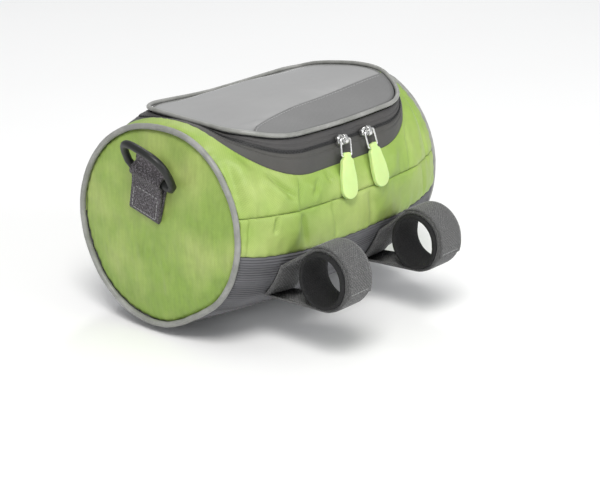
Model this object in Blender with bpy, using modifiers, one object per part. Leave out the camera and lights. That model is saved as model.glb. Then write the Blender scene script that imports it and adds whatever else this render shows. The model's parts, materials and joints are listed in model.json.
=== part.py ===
"""Barrel-shaped handlebar bag with a zipped lid, strap loops and end tabs.

Units are metres, +Z is up, +X runs to the rider's right along the handlebar and +Y points away from
the rider. The origin is on the handlebar's axis, midway between the two strap loops. Everything is
modelled in the bag's own frame, whose X axis is the barrel's axis, and an empty carries it to its
place in front of the bar. An angle round the barrel is 0 at the top and grows towards the rider.
"""
import math

import bmesh
import bpy
from mathutils import Matrix, Vector

# The barrel
BAG_LENGTH = 0.225          # over both end pipings
END_RADIUS = 0.076          # nominal radius over the end piping
RIDER_FULLNESS = 0.018      # how far the stuffed rider's face swells past the ends at mid-length
FULLNESS_POWER = 3.5        # how suddenly the swelling starts next to the ends
CLOTH_WALL = 0.0030         # padded body cloth
GAP = 0.0003                # clearance between pieces that are sewn together
SEAM_GROOVE = 0.0010        # opening of a body seam at its outer face; it closes to GAP inside
PIPING_DIAMETER = 0.0048
PIPING_PROUD = 0.0018       # how far the end piping stands out of the body cloth
END_DOME = 0.0030           # outward crown of the end panels
SEAM_ANGLE = 74.0           # lengthwise seam of the rider's face, at the ends
SEAM_SAG = 5.0              # degrees that it drops at mid-length
BASE_ANGLE = 94.0           # top edge of the ribbed base on the rider's side, at the ends
BASE_SAG = 4.0
FRONT_BASE_ANGLE = -94.0    # the base's other edge, on the side away from the rider

# The lid and the gusset that carries it
OPEN_END_MARGIN = 0.0145    # body cloth between the opening and the bag's end
OPEN_NEAR_ANGLE = 64.8
OPEN_FAR_ANGLE = -45.0
OPEN_NEAR_CORNERS = (0.055, 0.066)   # left and right, on the rider's side
OPEN_FAR_CORNERS = (0.026, 0.018)
OPEN_RADIUS = 0.085         # radius at which the opening's arc lengths are measured
LID_END_SETBACK = 0.0105    # lid's end inside the opening's end
LID_NEAR = 0.0770           # lid edge from the barrel's axis, towards the rider
LID_FAR = 0.0440            # and away from the rider
LID_NEAR_CORNERS = (0.040, 0.040)
LID_FAR_CORNERS = (0.028, 0.014)
LID_HEIGHT = 0.080          # height that the lid table is a share of
LID_WALL = 0.0020
LID_PIPING_DIAMETER = 0.0036
GUSSET_WALL = 0.0016
GUSSET_CLEARANCE = 0.0009   # between the gusset's foot and the edge of the opening
GUSSET_SWELL = 0.05         # outward bow of the gusset, as a share of its height
ZIP_LEVEL = 0.63            # middle of the zip, as a share of the way from the body to the lid
ZIP_BAND = 0.0038           # width of the zip between the gusset's two bands
WINDOW_WALL = 0.0006
FLAP_WALL = 0.0014
WINDOW_INSET = 0.0042       # from the lid's edge to the window and the flap

# Zip sliders and pulls
SLIDER_SPREAD = 0.0265      # between the two sliders
SLIDER_CENTRE = 0.0025      # middle of the pair, along the bag
SLIDER_WIDTH = 0.0080
SLIDER_LENGTH = 0.0110
SLIDER_HEIGHT = 0.0032
WIRE_DIAMETER = 0.0016
WIRE_WIDTH = 0.0102
WIRE_LENGTH = 0.0120
PULL_WIDTH = 0.0158
PULL_LENGTH = 0.0325
PULL_THICKNESS = 0.0032
PULL_SHOULDER = 0.0118      # width of the pull at its top
PULL_NECK = 0.0070          # width of the pull's neck inside the wire
PULL_NECK_LENGTH = 0.0055
PULL_TOP_WALL = 0.0011      # rubber above the wire's hole
PULL_EYE = WIRE_DIAMETER + 0.0010
PULL_TILT_LIMITS = (-45, 15)         # degrees, searched for the tilt at which a pull rests
BRIDGE_LENGTH = 0.0030
BRIDGE_WIDTH = 0.0070
BRIDGE_WALL = 0.0010
BRIDGE_EYE = WIRE_DIAMETER + 0.0012  # height of the hole under a slider's bridge
EYE_HEIGHT = SLIDER_HEIGHT + GAP + BRIDGE_EYE / 2
SLIDERS = (
    # label, along_sign, lean_deg
    ("left", -1, -7),
    ("right", 1, 9),
)

# End tabs
WEBBING_WIDTH = 0.0280
WEBBING_WALL = 0.0016
TAB_TOP = 0.0530            # heights of the tab's ends above the barrel's axis
TAB_BOTTOM = 0.0065
TAB_OFFSET = 0.0008         # tab centre, towards the rider
TAB_LEAN = 15.0             # degrees that a tab leans, its foot away from the rider
RING_BAR_HEIGHT = 0.0385
RING_BAR_DIAMETER = 0.0056
RING_SHIFT = 0.0030         # how far the ring has slid along its bar, towards the rider
RING_CLEARANCE = 0.0015     # between the webbing's edge and the ring's side
RING_REACH = 0.0348
RING_BOW_STEPS = 16
RING_SQUARENESS = 0.6       # exponent of the bow: 1 is an ellipse, smaller is squarer
RING_ARM = 0.16             # straight part of the ring's sides, as a share of its reach
RING_LEAN = 30.0            # degrees that the ring leans out of the upright

# The handlebar that the straps hold, and the straps
BAR_DIAMETER = 0.0318
BAR_GAP = 0.0120            # between the swollen face and the bar
BAR_DROP = 0.0190           # bar axis below the barrel's axis
STRAP_SPACING = 0.1030
STRAP_MIDDLE = -0.0140     # middle of the pair, along the bag
STRAP_SLACK = 0.0025        # how far a loop sags under the bar
STRAP_WIDTH = 0.0250
STRAP_WALL = 0.0024
STRAP_ANCHOR_UP = 102.0     # angles where a strap leaves the base panel
STRAP_ANCHOR_DOWN = 122.0
STRAP_SEWN_STEPS = 4
STRAP_ARC_STEPS = 20

# Section of the ends: radius round the barrel, as a share of END_RADIUS
END_SECTION = (
    # angle_deg, radius_share
    (0, 0.968),
    (30, 1.030),
    (60, 1.036),
    (90, 1.012),
    (120, 0.972),
    (150, 0.925),
    (180, 0.985),
    (210, 1.022),
    (240, 1.018),
    (270, 1.008),
    (300, 0.975),
    (330, 0.962),
)

# Swelling at mid-length round the barrel, as a share of RIDER_FULLNESS
SWELLING = (
    # angle_deg, fullness_share
    (0, 0.45),
    (30, 0.60),
    (60, 0.92),
    (90, 1.00),
    (120, 0.72),
    (150, 0.42),
    (180, 0.30),
    (210, 0.40),
    (240, 0.55),
    (270, 0.65),
    (300, 0.55),
    (330, 0.42),
)

# Main dents and folds of the cloth: place and half-widths as shares of half the length and of a
# half turn, depth as a share of RIDER_FULLNESS
DENTS = (
    # along, around, half_long, half_round, depth
    (-0.80, 0.46, 0.12, 0.10, 0.09),
    (-0.46, 0.47, 0.10, 0.05, 0.10),
    (-0.10, 0.42, 0.05, 0.05, 0.12),
    (0.40, 0.47, 0.09, 0.05, 0.11),
    (0.76, 0.40, 0.10, 0.07, 0.12),
    (0.30, -0.40, 0.22, 0.12, 0.14),
    (-0.45, -0.45, 0.20, 0.10, 0.12),
)

# Lid height as shares of LID_HEIGHT, at places across the lid counted from the rider's edge
LID_PROFILE = (
    # across_share, left_end, middle, right_end
    (0.00, 0.855, 0.825, 0.850),
    (0.15, 0.895, 0.888, 0.915),
    (0.30, 0.905, 0.945, 1.000),
    (0.45, 0.912, 0.980, 1.015),
    (0.64, 0.920, 0.985, 0.985),
    (0.82, 0.930, 0.962, 0.935),
    (1.00, 0.900, 0.850, 0.860),
)

# Line between the window and the flap on the lid, as shares of the lid's half length and breadth
FLAP_LINE = (
    # along_share, across_share
    (-0.90, 0.120),
    (-0.80, 0.180),
    (-0.66, 0.216),
    (-0.48, 0.242),
    (-0.20, 0.263),
    (0.20, 0.269),
    (0.60, 0.269),
    (0.92, 0.268),
)

HALF_LENGTH = BAG_LENGTH / 2
OPEN_HALF_LENGTH = HALF_LENGTH - OPEN_END_MARGIN
LID_HALF_LENGTH = OPEN_HALF_LENGTH - LID_END_SETBACK
RING_WIDTH = WEBBING_WIDTH + 2 * (RING_BAR_DIAMETER + RING_SHIFT + RING_CLEARANCE)
PIPING_RADIUS = PIPING_DIAMETER / 2
LID_SEAM_DROP = LID_PIPING_DIAMETER / 2 + 3 * GAP    # from the lid piping down to the gusset
BODY_END = HALF_LENGTH - PIPING_DIAMETER - GAP
BAR_DISTANCE = END_RADIUS + RIDER_FULLNESS + BAR_GAP + BAR_DIAMETER / 2
LENGTH_STEPS = 16
LEFT_RIGHT = (("left", -1), ("right", 1))


def clear_scene():
    """Remove what a new file starts with."""
    for item in list(bpy.data.objects):
        bpy.data.objects.remove(item, do_unlink=True)


def new_collection(name):
    """Add a collection to the scene."""
    collection = bpy.data.collections.new(name)
    bpy.context.scene.collection.children.link(collection)
    return collection


clear_scene()
BAG = new_collection("handlebar_bag")
GUIDES = new_collection("guides")

frame_empty = bpy.data.objects.new("bag_frame", None)
frame_empty.location = (-STRAP_MIDDLE, BAR_DISTANCE, BAR_DROP)
BAG.objects.link(frame_empty)


def finish(name, colour, roughness, metallic=0.0):
    """Make a plain material."""
    material = bpy.data.materials.new(name)
    material.use_nodes = True
    shader = material.node_tree.nodes["Principled BSDF"]
    shader.inputs["Base Color"].default_value = (*colour, 1)
    shader.inputs["Roughness"].default_value = roughness
    shader.inputs["Metallic"].default_value = metallic
    return material


GREEN = ((0.36, 0.56, 0.11), 0.75)
RIBBED = ((0.11, 0.11, 0.13), 0.85)
GUSSET_GREY = ((0.16, 0.15, 0.15), 0.80)
LID_GREY = ((0.26, 0.26, 0.26), 0.75)
VINYL = ((0.45, 0.45, 0.45), 0.18)
PIPING_GREY = ((0.36, 0.36, 0.34), 0.60)
BLACK = ((0.02, 0.02, 0.02), 0.60)
STRAP_GREY = ((0.18, 0.18, 0.18), 0.90)
LIME_RUBBER = ((0.62, 0.86, 0.30), 0.50)
STEEL = ((0.75, 0.75, 0.74), 0.20, 1.0)
RING_BLACK = ((0.03, 0.03, 0.03), 0.40)


def place(item, name, look, parent=None):
    """Name a piece, give it its own material and hang it in the bag's frame."""
    item.name = name
    item.data.name = name
    item.data.materials.clear()
    item.data.materials.append(finish(name + "_finish", *look))
    item.parent = parent or frame_empty
    return item


def mesh_object(name, mesh):
    """Wrap a mesh in an object of the bag's collection."""
    item = bpy.data.objects.new(name, mesh)
    BAG.objects.link(item)
    return item


def grid_mesh(name, rows, closed=False, centre=None, first_centre=None, flip=False):
    """Loft a surface through rows of points; closed joins each row's ends, a centre fans the outer row."""
    work = bmesh.new()
    verts = [[work.verts.new(point) for point in row] for row in rows]
    for low, high in zip(verts, verts[1:]):
        count = len(low)
        for i in range(count if closed else count - 1):
            j = (i + 1) % count
            work.faces.new((low[i], low[j], high[j], high[i]))
    for place_of_hub, ring in ((centre, verts[-1]), (first_centre, verts[0][::-1])):
        if place_of_hub is not None:
            hub = work.verts.new(place_of_hub)
            for i, vert in enumerate(ring):
                work.faces.new((vert, ring[(i + 1) % len(ring)], hub))
    if flip:
        bmesh.ops.reverse_faces(work, faces=work.faces[:])
    work.normal_update()
    mesh = bpy.data.meshes.new(name)
    work.to_mesh(mesh)
    work.free()
    mesh.shade_smooth()
    return mesh


def cloth(name, rows, wall, look, **grid):
    """A cloth piece: a lofted outer surface, thickened inwards."""
    item = mesh_object(name, grid_mesh(name, rows, **grid))
    shell = item.modifiers.new("wall", "SOLIDIFY")
    shell.thickness = wall
    shell.offset = -1
    shell.use_even_offset = True
    return place(item, name, look)


def tube(name, points, diameter, look, cyclic=True, resolution=1, parent=None):
    """Round piping or wire along a path."""
    curve = bpy.data.curves.new(name, "CURVE")
    curve.dimensions = "3D"
    curve.bevel_depth = diameter / 2
    curve.bevel_resolution = resolution
    curve.use_fill_caps = not cyclic
    spline = curve.splines.new("POLY")
    spline.points.add(len(points) - 1)
    for target, point in zip(spline.points, points):
        target.co = (*point, 1)
    spline.use_cyclic_u = cyclic
    item = bpy.data.objects.new(name, curve)
    BAG.objects.link(item)
    return place(item, name, look, parent)


def smooth_step(t):
    """Ease from 0 to 1."""
    t = min(max(t, 0), 1)
    return t * t * (3 - 2 * t)


def hermite(a, b, c, d, t):
    """Catmull-Rom value between b and c."""
    return 0.5 * (2 * b + (c - a) * t + (2 * a - 5 * b + 4 * c - d) * t * t + (3 * b - a - 3 * c + d) * t ** 3)


def round_table(rows, angle):
    """Value of an evenly spaced table that closes on itself after a turn."""
    step = 360 / len(rows)
    place_in = (angle % 360) / step
    i = int(place_in)
    values = [rows[(i + k) % len(rows)][1] for k in (-1, 0, 1, 2)]
    return hermite(*values, place_in - i)


def open_table(rows, at, column):
    """Value of a table whose first column rises, with its ends held."""
    at = min(max(at, rows[0][0]), rows[-1][0])
    i = max(k for k in range(len(rows) - 1) if rows[k][0] <= at)
    t = (at - rows[i][0]) / (rows[i + 1][0] - rows[i][0])
    picks = [rows[min(max(i + k, 0), len(rows) - 1)][column] for k in (-1, 0, 1, 2)]
    return hermite(*picks, t)


def swell(x):
    """How much of the mid-length swelling the barrel has at a place along it."""
    return 1 - min(abs(x) / HALF_LENGTH, 1) ** FULLNESS_POWER


def dents(x, angle):
    """Depth of the dents at a place on the barrel."""
    turn = (angle + 180) % 360 - 180
    total = 0
    for along, around, half_long, half_round, depth in DENTS:
        across = (x / HALF_LENGTH - along) / half_long
        over = (turn / 180 - around) / half_round
        total += depth * math.exp(-across ** 2 - over ** 2)
    return total * RIDER_FULLNESS * swell(x)


def skin_radius(x, angle):
    """Distance of the body cloth's outer face from the barrel's axis."""
    fullness = RIDER_FULLNESS * round_table(SWELLING, angle) * swell(x)
    return END_RADIUS * round_table(END_SECTION, angle) - PIPING_PROUD + fullness - dents(x, angle)


def on_barrel(x, angle, radius):
    """Point at an angle and a distance from the barrel's axis."""
    turn = math.radians(angle)
    return Vector((x, -radius * math.sin(turn), radius * math.cos(turn)))


def skin(x, angle, depth=0.0):
    """Point on the body cloth, or that deep under it."""
    return on_barrel(x, angle, skin_radius(x, angle) - depth)


def end_outline(side, inset, x, count):
    """The end section drawn inwards by inset, in a plane across the barrel."""
    points = []
    for i in range(count):
        angle = 360 * i / count
        points.append(on_barrel(side * x, angle, END_RADIUS * round_table(END_SECTION, angle) - inset))
    return points


def seam_angle(x):
    """Lengthwise seam on the rider's face."""
    return SEAM_ANGLE + SEAM_SAG * swell(x)


def base_angle(x):
    """Upper edge of the ribbed base on the rider's face."""
    return BASE_ANGLE + BASE_SAG * swell(x)


def stations():
    """Places along the barrel, closer together towards its ends."""
    return [BODY_END * math.sin(math.pi * (i / LENGTH_STEPS - 0.5)) * 0.35
            + BODY_END * (2 * i / LENGTH_STEPS - 1) * 0.65 for i in range(LENGTH_STEPS + 1)]


def groove_angle():
    """Half the opening of a body seam as an angle at the barrel's face."""
    return math.degrees(SEAM_GROOVE / 2 / END_RADIUS)


def body_panel(name, low, high, steps, look):
    """A body panel between two edges given as angles along the barrel."""
    rows = []
    for k in range(steps + 1):
        row = []
        for x in stations():
            start = low(x) + groove_angle()
            stop = high(x) - groove_angle()
            row.append(skin(x, start + (stop - start) * k / steps))
        rows.append(row)
    return cloth(name, rows, CLOTH_WALL, look, flip=True)


OUTLINE_CORNERS = (
    # along_sign, across_sign, first_turn_deg, corner_steps, side_steps_after
    (1, 1, 90, 7, 5),
    (1, -1, 0, 4, 6),
    (-1, -1, -90, 4, 5),
    (-1, 1, 180, 7, 7),
)


def rounded_outline(half_length, near, far, near_corners, far_corners):
    """Closed outline with four corner sizes; the second coordinate grows towards the rider."""
    arcs = []
    for along, across, first, corner_steps, _ in OUTLINE_CORNERS:
        reach, sizes = (near, near_corners) if across > 0 else (far, far_corners)
        radius = sizes[along > 0]
        centre = Vector((along * (half_length - radius), across * (reach - radius)))
        turns = [math.radians(first - 90 * k / corner_steps) for k in range(corner_steps + 1)]
        arcs.append([centre + radius * Vector((math.cos(turn), math.sin(turn))) for turn in turns])
    points = []
    for i, arc in enumerate(arcs):
        following = arcs[(i + 1) % len(arcs)][0]
        side_steps = OUTLINE_CORNERS[i][4]
        points += arc
        points += [arc[-1].lerp(following, k / side_steps) for k in range(1, side_steps)]
    return points


def far_side():
    """Indices of the outline's points along its side away from the rider."""
    first = OUTLINE_CORNERS[0][3] + OUTLINE_CORNERS[0][4] + OUTLINE_CORNERS[1][3]
    return list(range(first, first + OUTLINE_CORNERS[1][4] + 1))


def opening_outline(clearance):
    """The lid opening on the barrel, as places along it and angles round it."""
    near = math.radians(OPEN_NEAR_ANGLE) * OPEN_RADIUS - clearance
    far = math.radians(-OPEN_FAR_ANGLE) * OPEN_RADIUS - clearance
    flat = rounded_outline(OPEN_HALF_LENGTH - clearance, near, far, OPEN_NEAR_CORNERS, OPEN_FAR_CORNERS)
    return [(point.x, math.degrees(point.y / OPEN_RADIUS)) for point in flat]


def lid_height(x, y):
    """Height of the lid's face over a place on its plan."""
    across = (LID_NEAR + y) / (LID_NEAR + LID_FAR)
    left, middle, right = (open_table(LID_PROFILE, across, column) for column in (1, 2, 3))
    along = min(max(x / LID_HALF_LENGTH, -1), 1)
    end = right if along > 0 else left
    return LID_HEIGHT * (middle + (end - middle) * smooth_step(abs(along)))


def lid_outline(inset):
    """The lid's edge drawn inwards by inset, in plan."""
    corners = [[size - inset for size in sizes] for sizes in (LID_NEAR_CORNERS, LID_FAR_CORNERS)]
    flat = rounded_outline(LID_HALF_LENGTH - inset, LID_NEAR - inset, LID_FAR - inset, *corners)
    return [Vector((point.x, -point.y)) for point in flat]


def lid_edge():
    """The line that the lid's piping follows."""
    return [Vector((point.x, point.y, lid_height(point.x, point.y))) for point in lid_outline(0)]


def gusset_edges():
    """Lower and upper edge of the whole gusset: on the body cloth, and under the lid's piping."""
    base = [skin(x, angle) for x, angle in opening_outline(GUSSET_CLEARANCE)]
    return base, [point - Vector((0, 0, LID_SEAM_DROP)) for point in lid_edge()]


def gusset_row(share, shift=0.0, out=0.0):
    """A line along the gusset, that share of the way up, moved by shift upwards and by out outwards."""
    base, top = gusset_edges()
    row = []
    for k, (low, high) in enumerate(zip(base, top)):
        rise = high - low
        along = base[(k + 1) % len(base)] - base[k - 1]
        outward = along.cross(rise).normalized()
        bow = GUSSET_SWELL * rise.length * 4 * share * (1 - share)
        row.append(low + rise * share + rise.normalized() * shift + outward * (bow + out))
    return row


def build_body():
    """The body cloth: a green upper part with the lid's opening, a green strip and the ribbed base."""
    upper = body_panel("upper_panel", lambda x: FRONT_BASE_ANGLE, seam_angle, 14, GREEN)
    body_panel("rider_side_panel", seam_angle, base_angle, 3, GREEN)
    body_panel("base_panel", base_angle, lambda x: FRONT_BASE_ANGLE + 360, 14, RIBBED)
    middle_angle = (OPEN_NEAR_ANGLE + OPEN_FAR_ANGLE) / 2
    inner, outer = END_RADIUS * 0.84, END_RADIUS * 1.35
    outline = opening_outline(0)
    rings = [[on_barrel(x, angle, radius) for x, angle in outline] for radius in (inner, outer)]
    mesh = grid_mesh("lid_opening", rings, closed=True,
                     centre=on_barrel(0, middle_angle, outer * 1.25),
                     first_centre=on_barrel(0, middle_angle, inner))
    cut(upper, "lid_opening", mesh)


def guide(name, mesh):
    """A cutter: kept out of sight and out of the bag's collection."""
    item = bpy.data.objects.new(name, mesh)
    GUIDES.objects.link(item)
    item.hide_render = True
    item.display_type = "WIRE"
    item.parent = frame_empty
    return item


def cut(item, name, mesh, operation="DIFFERENCE"):
    """Combine a piece with a guide's mesh."""
    change = item.modifiers.new(name, "BOOLEAN")
    change.solver = "EXACT"
    change.operation = operation
    change.object = guide(name, mesh)
    return change


def build_ends():
    """The two end panels, slightly crowned, and the piping round them."""
    inset = PIPING_DIAMETER + GAP
    for label, side in LEFT_RIGHT:
        rings = []
        for share in (1, 0.86, 0.66, 0.42, 0.18):
            crown = END_DOME * (1 - share ** 4)
            points = end_outline(side, inset, HALF_LENGTH - END_DOME - GAP + crown, 40)
            rings.append([Vector((point.x, point.y * share, point.z * share)) for point in points])
        hub = Vector((side * (HALF_LENGTH - GAP), 0, 0))
        cloth("end_panel_" + label, rings, CLOTH_WALL, GREEN, closed=True, centre=hub, flip=side < 0)
        path = end_outline(side, PIPING_RADIUS, HALF_LENGTH - PIPING_RADIUS, 40)
        tube("end_piping_" + label, path, PIPING_DIAMETER, PIPING_GREY)


def build_gusset():
    """The gusset's two bands, the zip between them, the cloth hinge behind and the lid's piping."""
    edge = ZIP_BAND / 2
    lower = [gusset_row(0), gusset_row(ZIP_LEVEL / 2), gusset_row(ZIP_LEVEL, -edge - GAP)]
    cloth("gusset_lower", lower, GUSSET_WALL, GUSSET_GREY, closed=True)
    upper = [gusset_row(ZIP_LEVEL, edge + 2 * GAP), gusset_row(1)]
    cloth("gusset_upper", upper, GUSSET_WALL, GUSSET_GREY, closed=True)
    recess = GUSSET_WALL * 0.3
    zip_rows = [gusset_row(ZIP_LEVEL, shift, -recess) for shift in (GAP - edge, edge - 2 * GAP)]
    behind = far_side()
    count = len(zip_rows[0])
    round_front = [k % count for k in range(behind[-1], behind[0] + count + 1)]
    cloth("zip", [[row[k] for k in round_front] for row in zip_rows], GUSSET_WALL * 0.6, BLACK)
    hinge_rows = []
    for row in (zip_rows[0], zip_rows[-1]):
        points = [row[k] for k in behind]
        for end, inner in ((0, 1), (-1, -2)):
            step = points[inner] - points[end]
            points[end] = points[end] + step.normalized() * GAP * 2
        hinge_rows.append(points)
    cloth("lid_hinge", hinge_rows, GUSSET_WALL * 0.6, GUSSET_GREY)
    tube("lid_piping", lid_edge(), LID_PIPING_DIAMETER, PIPING_GREY)


def lid_sheet(name, drop, wall, look, hem=None):
    """A sheet that follows the lid's face out to WINDOW_INSET from its edge, or on to a hem's inset."""
    outline = lid_outline(WINDOW_INSET)
    middle = Vector((0, (LID_FAR - LID_NEAR) / 2))
    plans = [[middle.lerp(point, share) for point in outline] for share in (1, 0.76, 0.42)]
    if hem is not None:
        plans.insert(0, lid_outline(hem))
    rings = [[Vector((p.x, p.y, lid_height(p.x, p.y) - drop)) for p in plan] for plan in plans]
    hub = Vector((middle.x, middle.y, lid_height(*middle) - drop))
    return cloth(name, rings, wall, look, closed=True, centre=hub)


def lid_place(along_share, across_share):
    """Place on the lid's plan from shares of its half length and breadth."""
    return Vector((along_share * LID_HALF_LENGTH, across_share * (LID_NEAR + LID_FAR) - LID_NEAR))


def prism(name, outline, low, high):
    """Upright prism over an outline in plan."""
    work = bmesh.new()
    face = work.faces.new([work.verts.new((point.x, point.y, low)) for point in outline])
    made = bmesh.ops.extrude_face_region(work, geom=[face])
    top = [item for item in made["geom"] if isinstance(item, bmesh.types.BMVert)]
    bmesh.ops.translate(work, verts=top, vec=(0, 0, high - low))
    bmesh.ops.recalc_face_normals(work, faces=work.faces[:])
    mesh = bpy.data.meshes.new(name)
    work.to_mesh(mesh)
    work.free()
    return mesh


def flap_region(shift):
    """Plan of the side of the flap's edge that faces the rider, its edge moved by shift."""
    edge = [lid_place(*row) + Vector((0, shift)) for row in FLAP_LINE]
    far_out = LID_HALF_LENGTH * 1.4
    first = Vector((-far_out, edge[0].y - far_out * 0.4))
    corners = [Vector((far_out, edge[-1].y + far_out * 0.2)), Vector((far_out, -far_out * 1.4)),
               Vector((-far_out, -far_out * 1.4))]
    return [first] + edge + corners


def build_lid():
    """The lid: a cloth panel inside the piping, with the clear window and the cloth flap on it."""
    face_drop = FLAP_WALL + GAP
    lid_sheet("lid_panel", face_drop, LID_WALL, LID_GREY, hem=LID_PIPING_DIAMETER / 2 + GAP)
    window = lid_sheet("lid_window", face_drop - GAP - WINDOW_WALL, WINDOW_WALL, VINYL)
    flap = lid_sheet("lid_flap", 0, FLAP_WALL, LID_GREY)
    low, high = LID_HEIGHT * 0.6, LID_HEIGHT * 1.3
    cut(window, "window_trim", prism("window_trim", flap_region(GAP / 2), low, high))
    cut(flap, "flap_trim", prism("flap_trim", flap_region(-GAP / 2), low, high), "INTERSECT")


def frame_matrix(origin, right, up, out):
    """Matrix of a local frame with those axes as its X, Y and Z."""
    matrix = Matrix((right, up, out)).transposed().to_4x4()
    matrix.translation = origin
    return matrix


def zip_frame(x):
    """Place on the zip's outer face at x, the direction up the gusset, and its outward normal."""
    clearance = math.degrees(GUSSET_CLEARANCE / OPEN_RADIUS)
    low = skin(x, OPEN_NEAR_ANGLE - clearance)
    high = Vector((x, -LID_NEAR, lid_height(x, -LID_NEAR) - LID_SEAM_DROP))
    up = (high - low).normalized()
    out = Vector((1, 0, 0)).cross(up)
    bow = GUSSET_SWELL * (high - low).length * 4 * ZIP_LEVEL * (1 - ZIP_LEVEL) + GUSSET_WALL * 0.3
    return low.lerp(high, ZIP_LEVEL) + out * (bow + GAP), up, out


def box(name, size, centre, bevel=0.0):
    """Box mesh from a primitive, with its edges rounded."""
    work = bmesh.new()
    bmesh.ops.create_cube(work, size=1)
    bmesh.ops.scale(work, vec=size, verts=work.verts)
    bmesh.ops.translate(work, vec=centre, verts=work.verts)
    if bevel:
        bmesh.ops.bevel(work, geom=work.edges[:], offset=bevel, segments=2, affect="EDGES", profile=0.5)
    mesh = bpy.data.meshes.new(name)
    work.to_mesh(mesh)
    work.free()
    return mesh


def rod(name, diameter, length, centre, sides=16):
    """Cylinder mesh along the local X axis."""
    work = bmesh.new()
    bmesh.ops.create_cone(work, cap_ends=True, segments=sides, radius1=diameter / 2,
                          radius2=diameter / 2, depth=length)
    bmesh.ops.rotate(work, verts=work.verts, matrix=Matrix.Rotation(math.radians(90), 3, "Y"))
    bmesh.ops.translate(work, vec=centre, verts=work.verts)
    mesh = bpy.data.meshes.new(name)
    work.to_mesh(mesh)
    work.free()
    return mesh


def joint_empty(name, matrix):
    """Empty at a joint, which carries the piece that turns there."""
    item = bpy.data.objects.new(name, None)
    BAG.objects.link(item)
    item.parent = frame_empty
    item.matrix_local = matrix
    return item


def pull_outline():
    """Outline of a rubber pull below the wire's lower bar: neck, shoulders and a round foot."""
    neck, shoulder, foot = PULL_NECK / 2, PULL_SHOULDER / 2, PULL_WIDTH / 2
    top = -WIRE_LENGTH + PULL_EYE / 2 + PULL_TOP_WALL
    step = top - PULL_NECK_LENGTH
    bottom = top - PULL_LENGTH
    half = [Vector((neck * 0.6, top)), Vector((neck, top - 0.0010)), Vector((neck, step)),
            Vector((shoulder, step - 0.0012)), Vector((foot, bottom + foot * 1.4))]
    for k in range(1, 6):
        turn = math.radians(90 * k / 6)
        half.append(Vector((foot * math.cos(turn), bottom + foot * 0.8 * (1 - math.sin(turn)))))
    mirrored = [Vector((-point.x, point.y)) for point in reversed(half)]
    return half + mirrored


def pull_rest_tilt(origin, right, up, out):
    """Largest tilt towards the cloth, in degrees, at which a hanging pull still clears the body."""
    low, high = PULL_TILT_LIMITS
    clear_tilts = [low]
    for quarter in range(4 * low, 4 * high):
        tilt = math.radians(quarter / 4)
        down = (-up) * math.cos(tilt) - out * math.sin(tilt)
        back = out * math.cos(tilt) - up * math.sin(tilt)
        heights = []
        for reach in (0.30, 0.45, 0.60, 0.75, 0.88, 1.0):
            for across in (-0.5, 0.0, 0.5):
                spot = origin + down * (WIRE_LENGTH + PULL_LENGTH * reach) - back * PULL_THICKNESS / 2
                spot = spot + right * PULL_WIDTH * across
                angle = math.degrees(math.atan2(-spot.y, spot.z))
                if angle >= OPEN_NEAR_ANGLE:
                    heights.append(math.hypot(spot.y, spot.z) - skin_radius(spot.x, angle))
        if min(heights, default=1) >= 2 * GAP:
            clear_tilts.append(quarter / 4)
    return clear_tilts[-1]


def build_pulls():
    """Two zip sliders, each with a wire loop under its bridge and a rubber pull on the wire."""
    for label, sign, lean in SLIDERS:
        x = SLIDER_CENTRE + sign * SLIDER_SPREAD / 2
        seat, up, out = zip_frame(x)
        along = Vector((1, 0, 0))
        here = frame_matrix(seat, along, up, out)
        plate = box("slider_" + label, (SLIDER_LENGTH, SLIDER_WIDTH, SLIDER_HEIGHT),
                    (0, 0, SLIDER_HEIGHT / 2), SLIDER_HEIGHT * 0.2)
        slider = place(mesh_object("slider_" + label, plate), "slider_" + label, STEEL)
        slider.matrix_local = here
        bridge_height = BRIDGE_EYE + 2 * GAP + BRIDGE_WALL
        bridge = box("bridge_" + label, (BRIDGE_LENGTH, BRIDGE_WIDTH, bridge_height + GAP),
                     (0, 0, SLIDER_HEIGHT + bridge_height / 2 - GAP / 2), BRIDGE_WALL / 2)
        eye = rod("eye_" + label, BRIDGE_EYE, SLIDER_LENGTH, (0, 0, EYE_HEIGHT))
        for mesh, operation in ((bridge, "UNION"), (eye, "DIFFERENCE")):
            change = cut(slider, mesh.name, mesh, operation)
            change.object.matrix_local = here
        turn = Matrix.Rotation(math.radians(lean), 3, out)
        axis, hang = turn @ along, turn @ up
        pivot = seat + out * EYE_HEIGHT
        tilt = Matrix.Rotation(math.radians(pull_rest_tilt(pivot, axis, hang, out)), 3, axis)
        joint = joint_empty("pull_joint_" + label, frame_matrix(pivot, axis, tilt @ hang, tilt @ out))
        loop = wire_path(WIRE_WIDTH / 2, WIRE_LENGTH, WIRE_DIAMETER * 0.8)
        tube("pull_wire_" + label, loop, WIRE_DIAMETER, STEEL, parent=joint)
        tab = mesh_object("pull_tab_" + label, prism("pull_tab_" + label, pull_outline(),
                                                     -PULL_THICKNESS / 2, PULL_THICKNESS / 2))
        place(tab, "pull_tab_" + label, LIME_RUBBER, joint)
        hole = rod("pull_eye_" + label, PULL_EYE, PULL_WIDTH, (0, -WIRE_LENGTH, 0))
        change = cut(tab, hole.name, hole)
        change.object.parent = joint


def wire_path(half_width, length, corner):
    """Closed rectangular loop with round corners, its upper bar on the local X axis."""
    points = []
    for across, level, first in ((1, 0, 90), (1, -length, 0), (-1, -length, -90), (-1, 0, 180)):
        centre = Vector((across * (half_width - corner), level + (corner if level else -corner), 0))
        for k in range(4):
            turn = math.radians(first - 30 * k)
            points.append(centre + corner * Vector((math.cos(turn), math.sin(turn), 0)))
    return points


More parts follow.
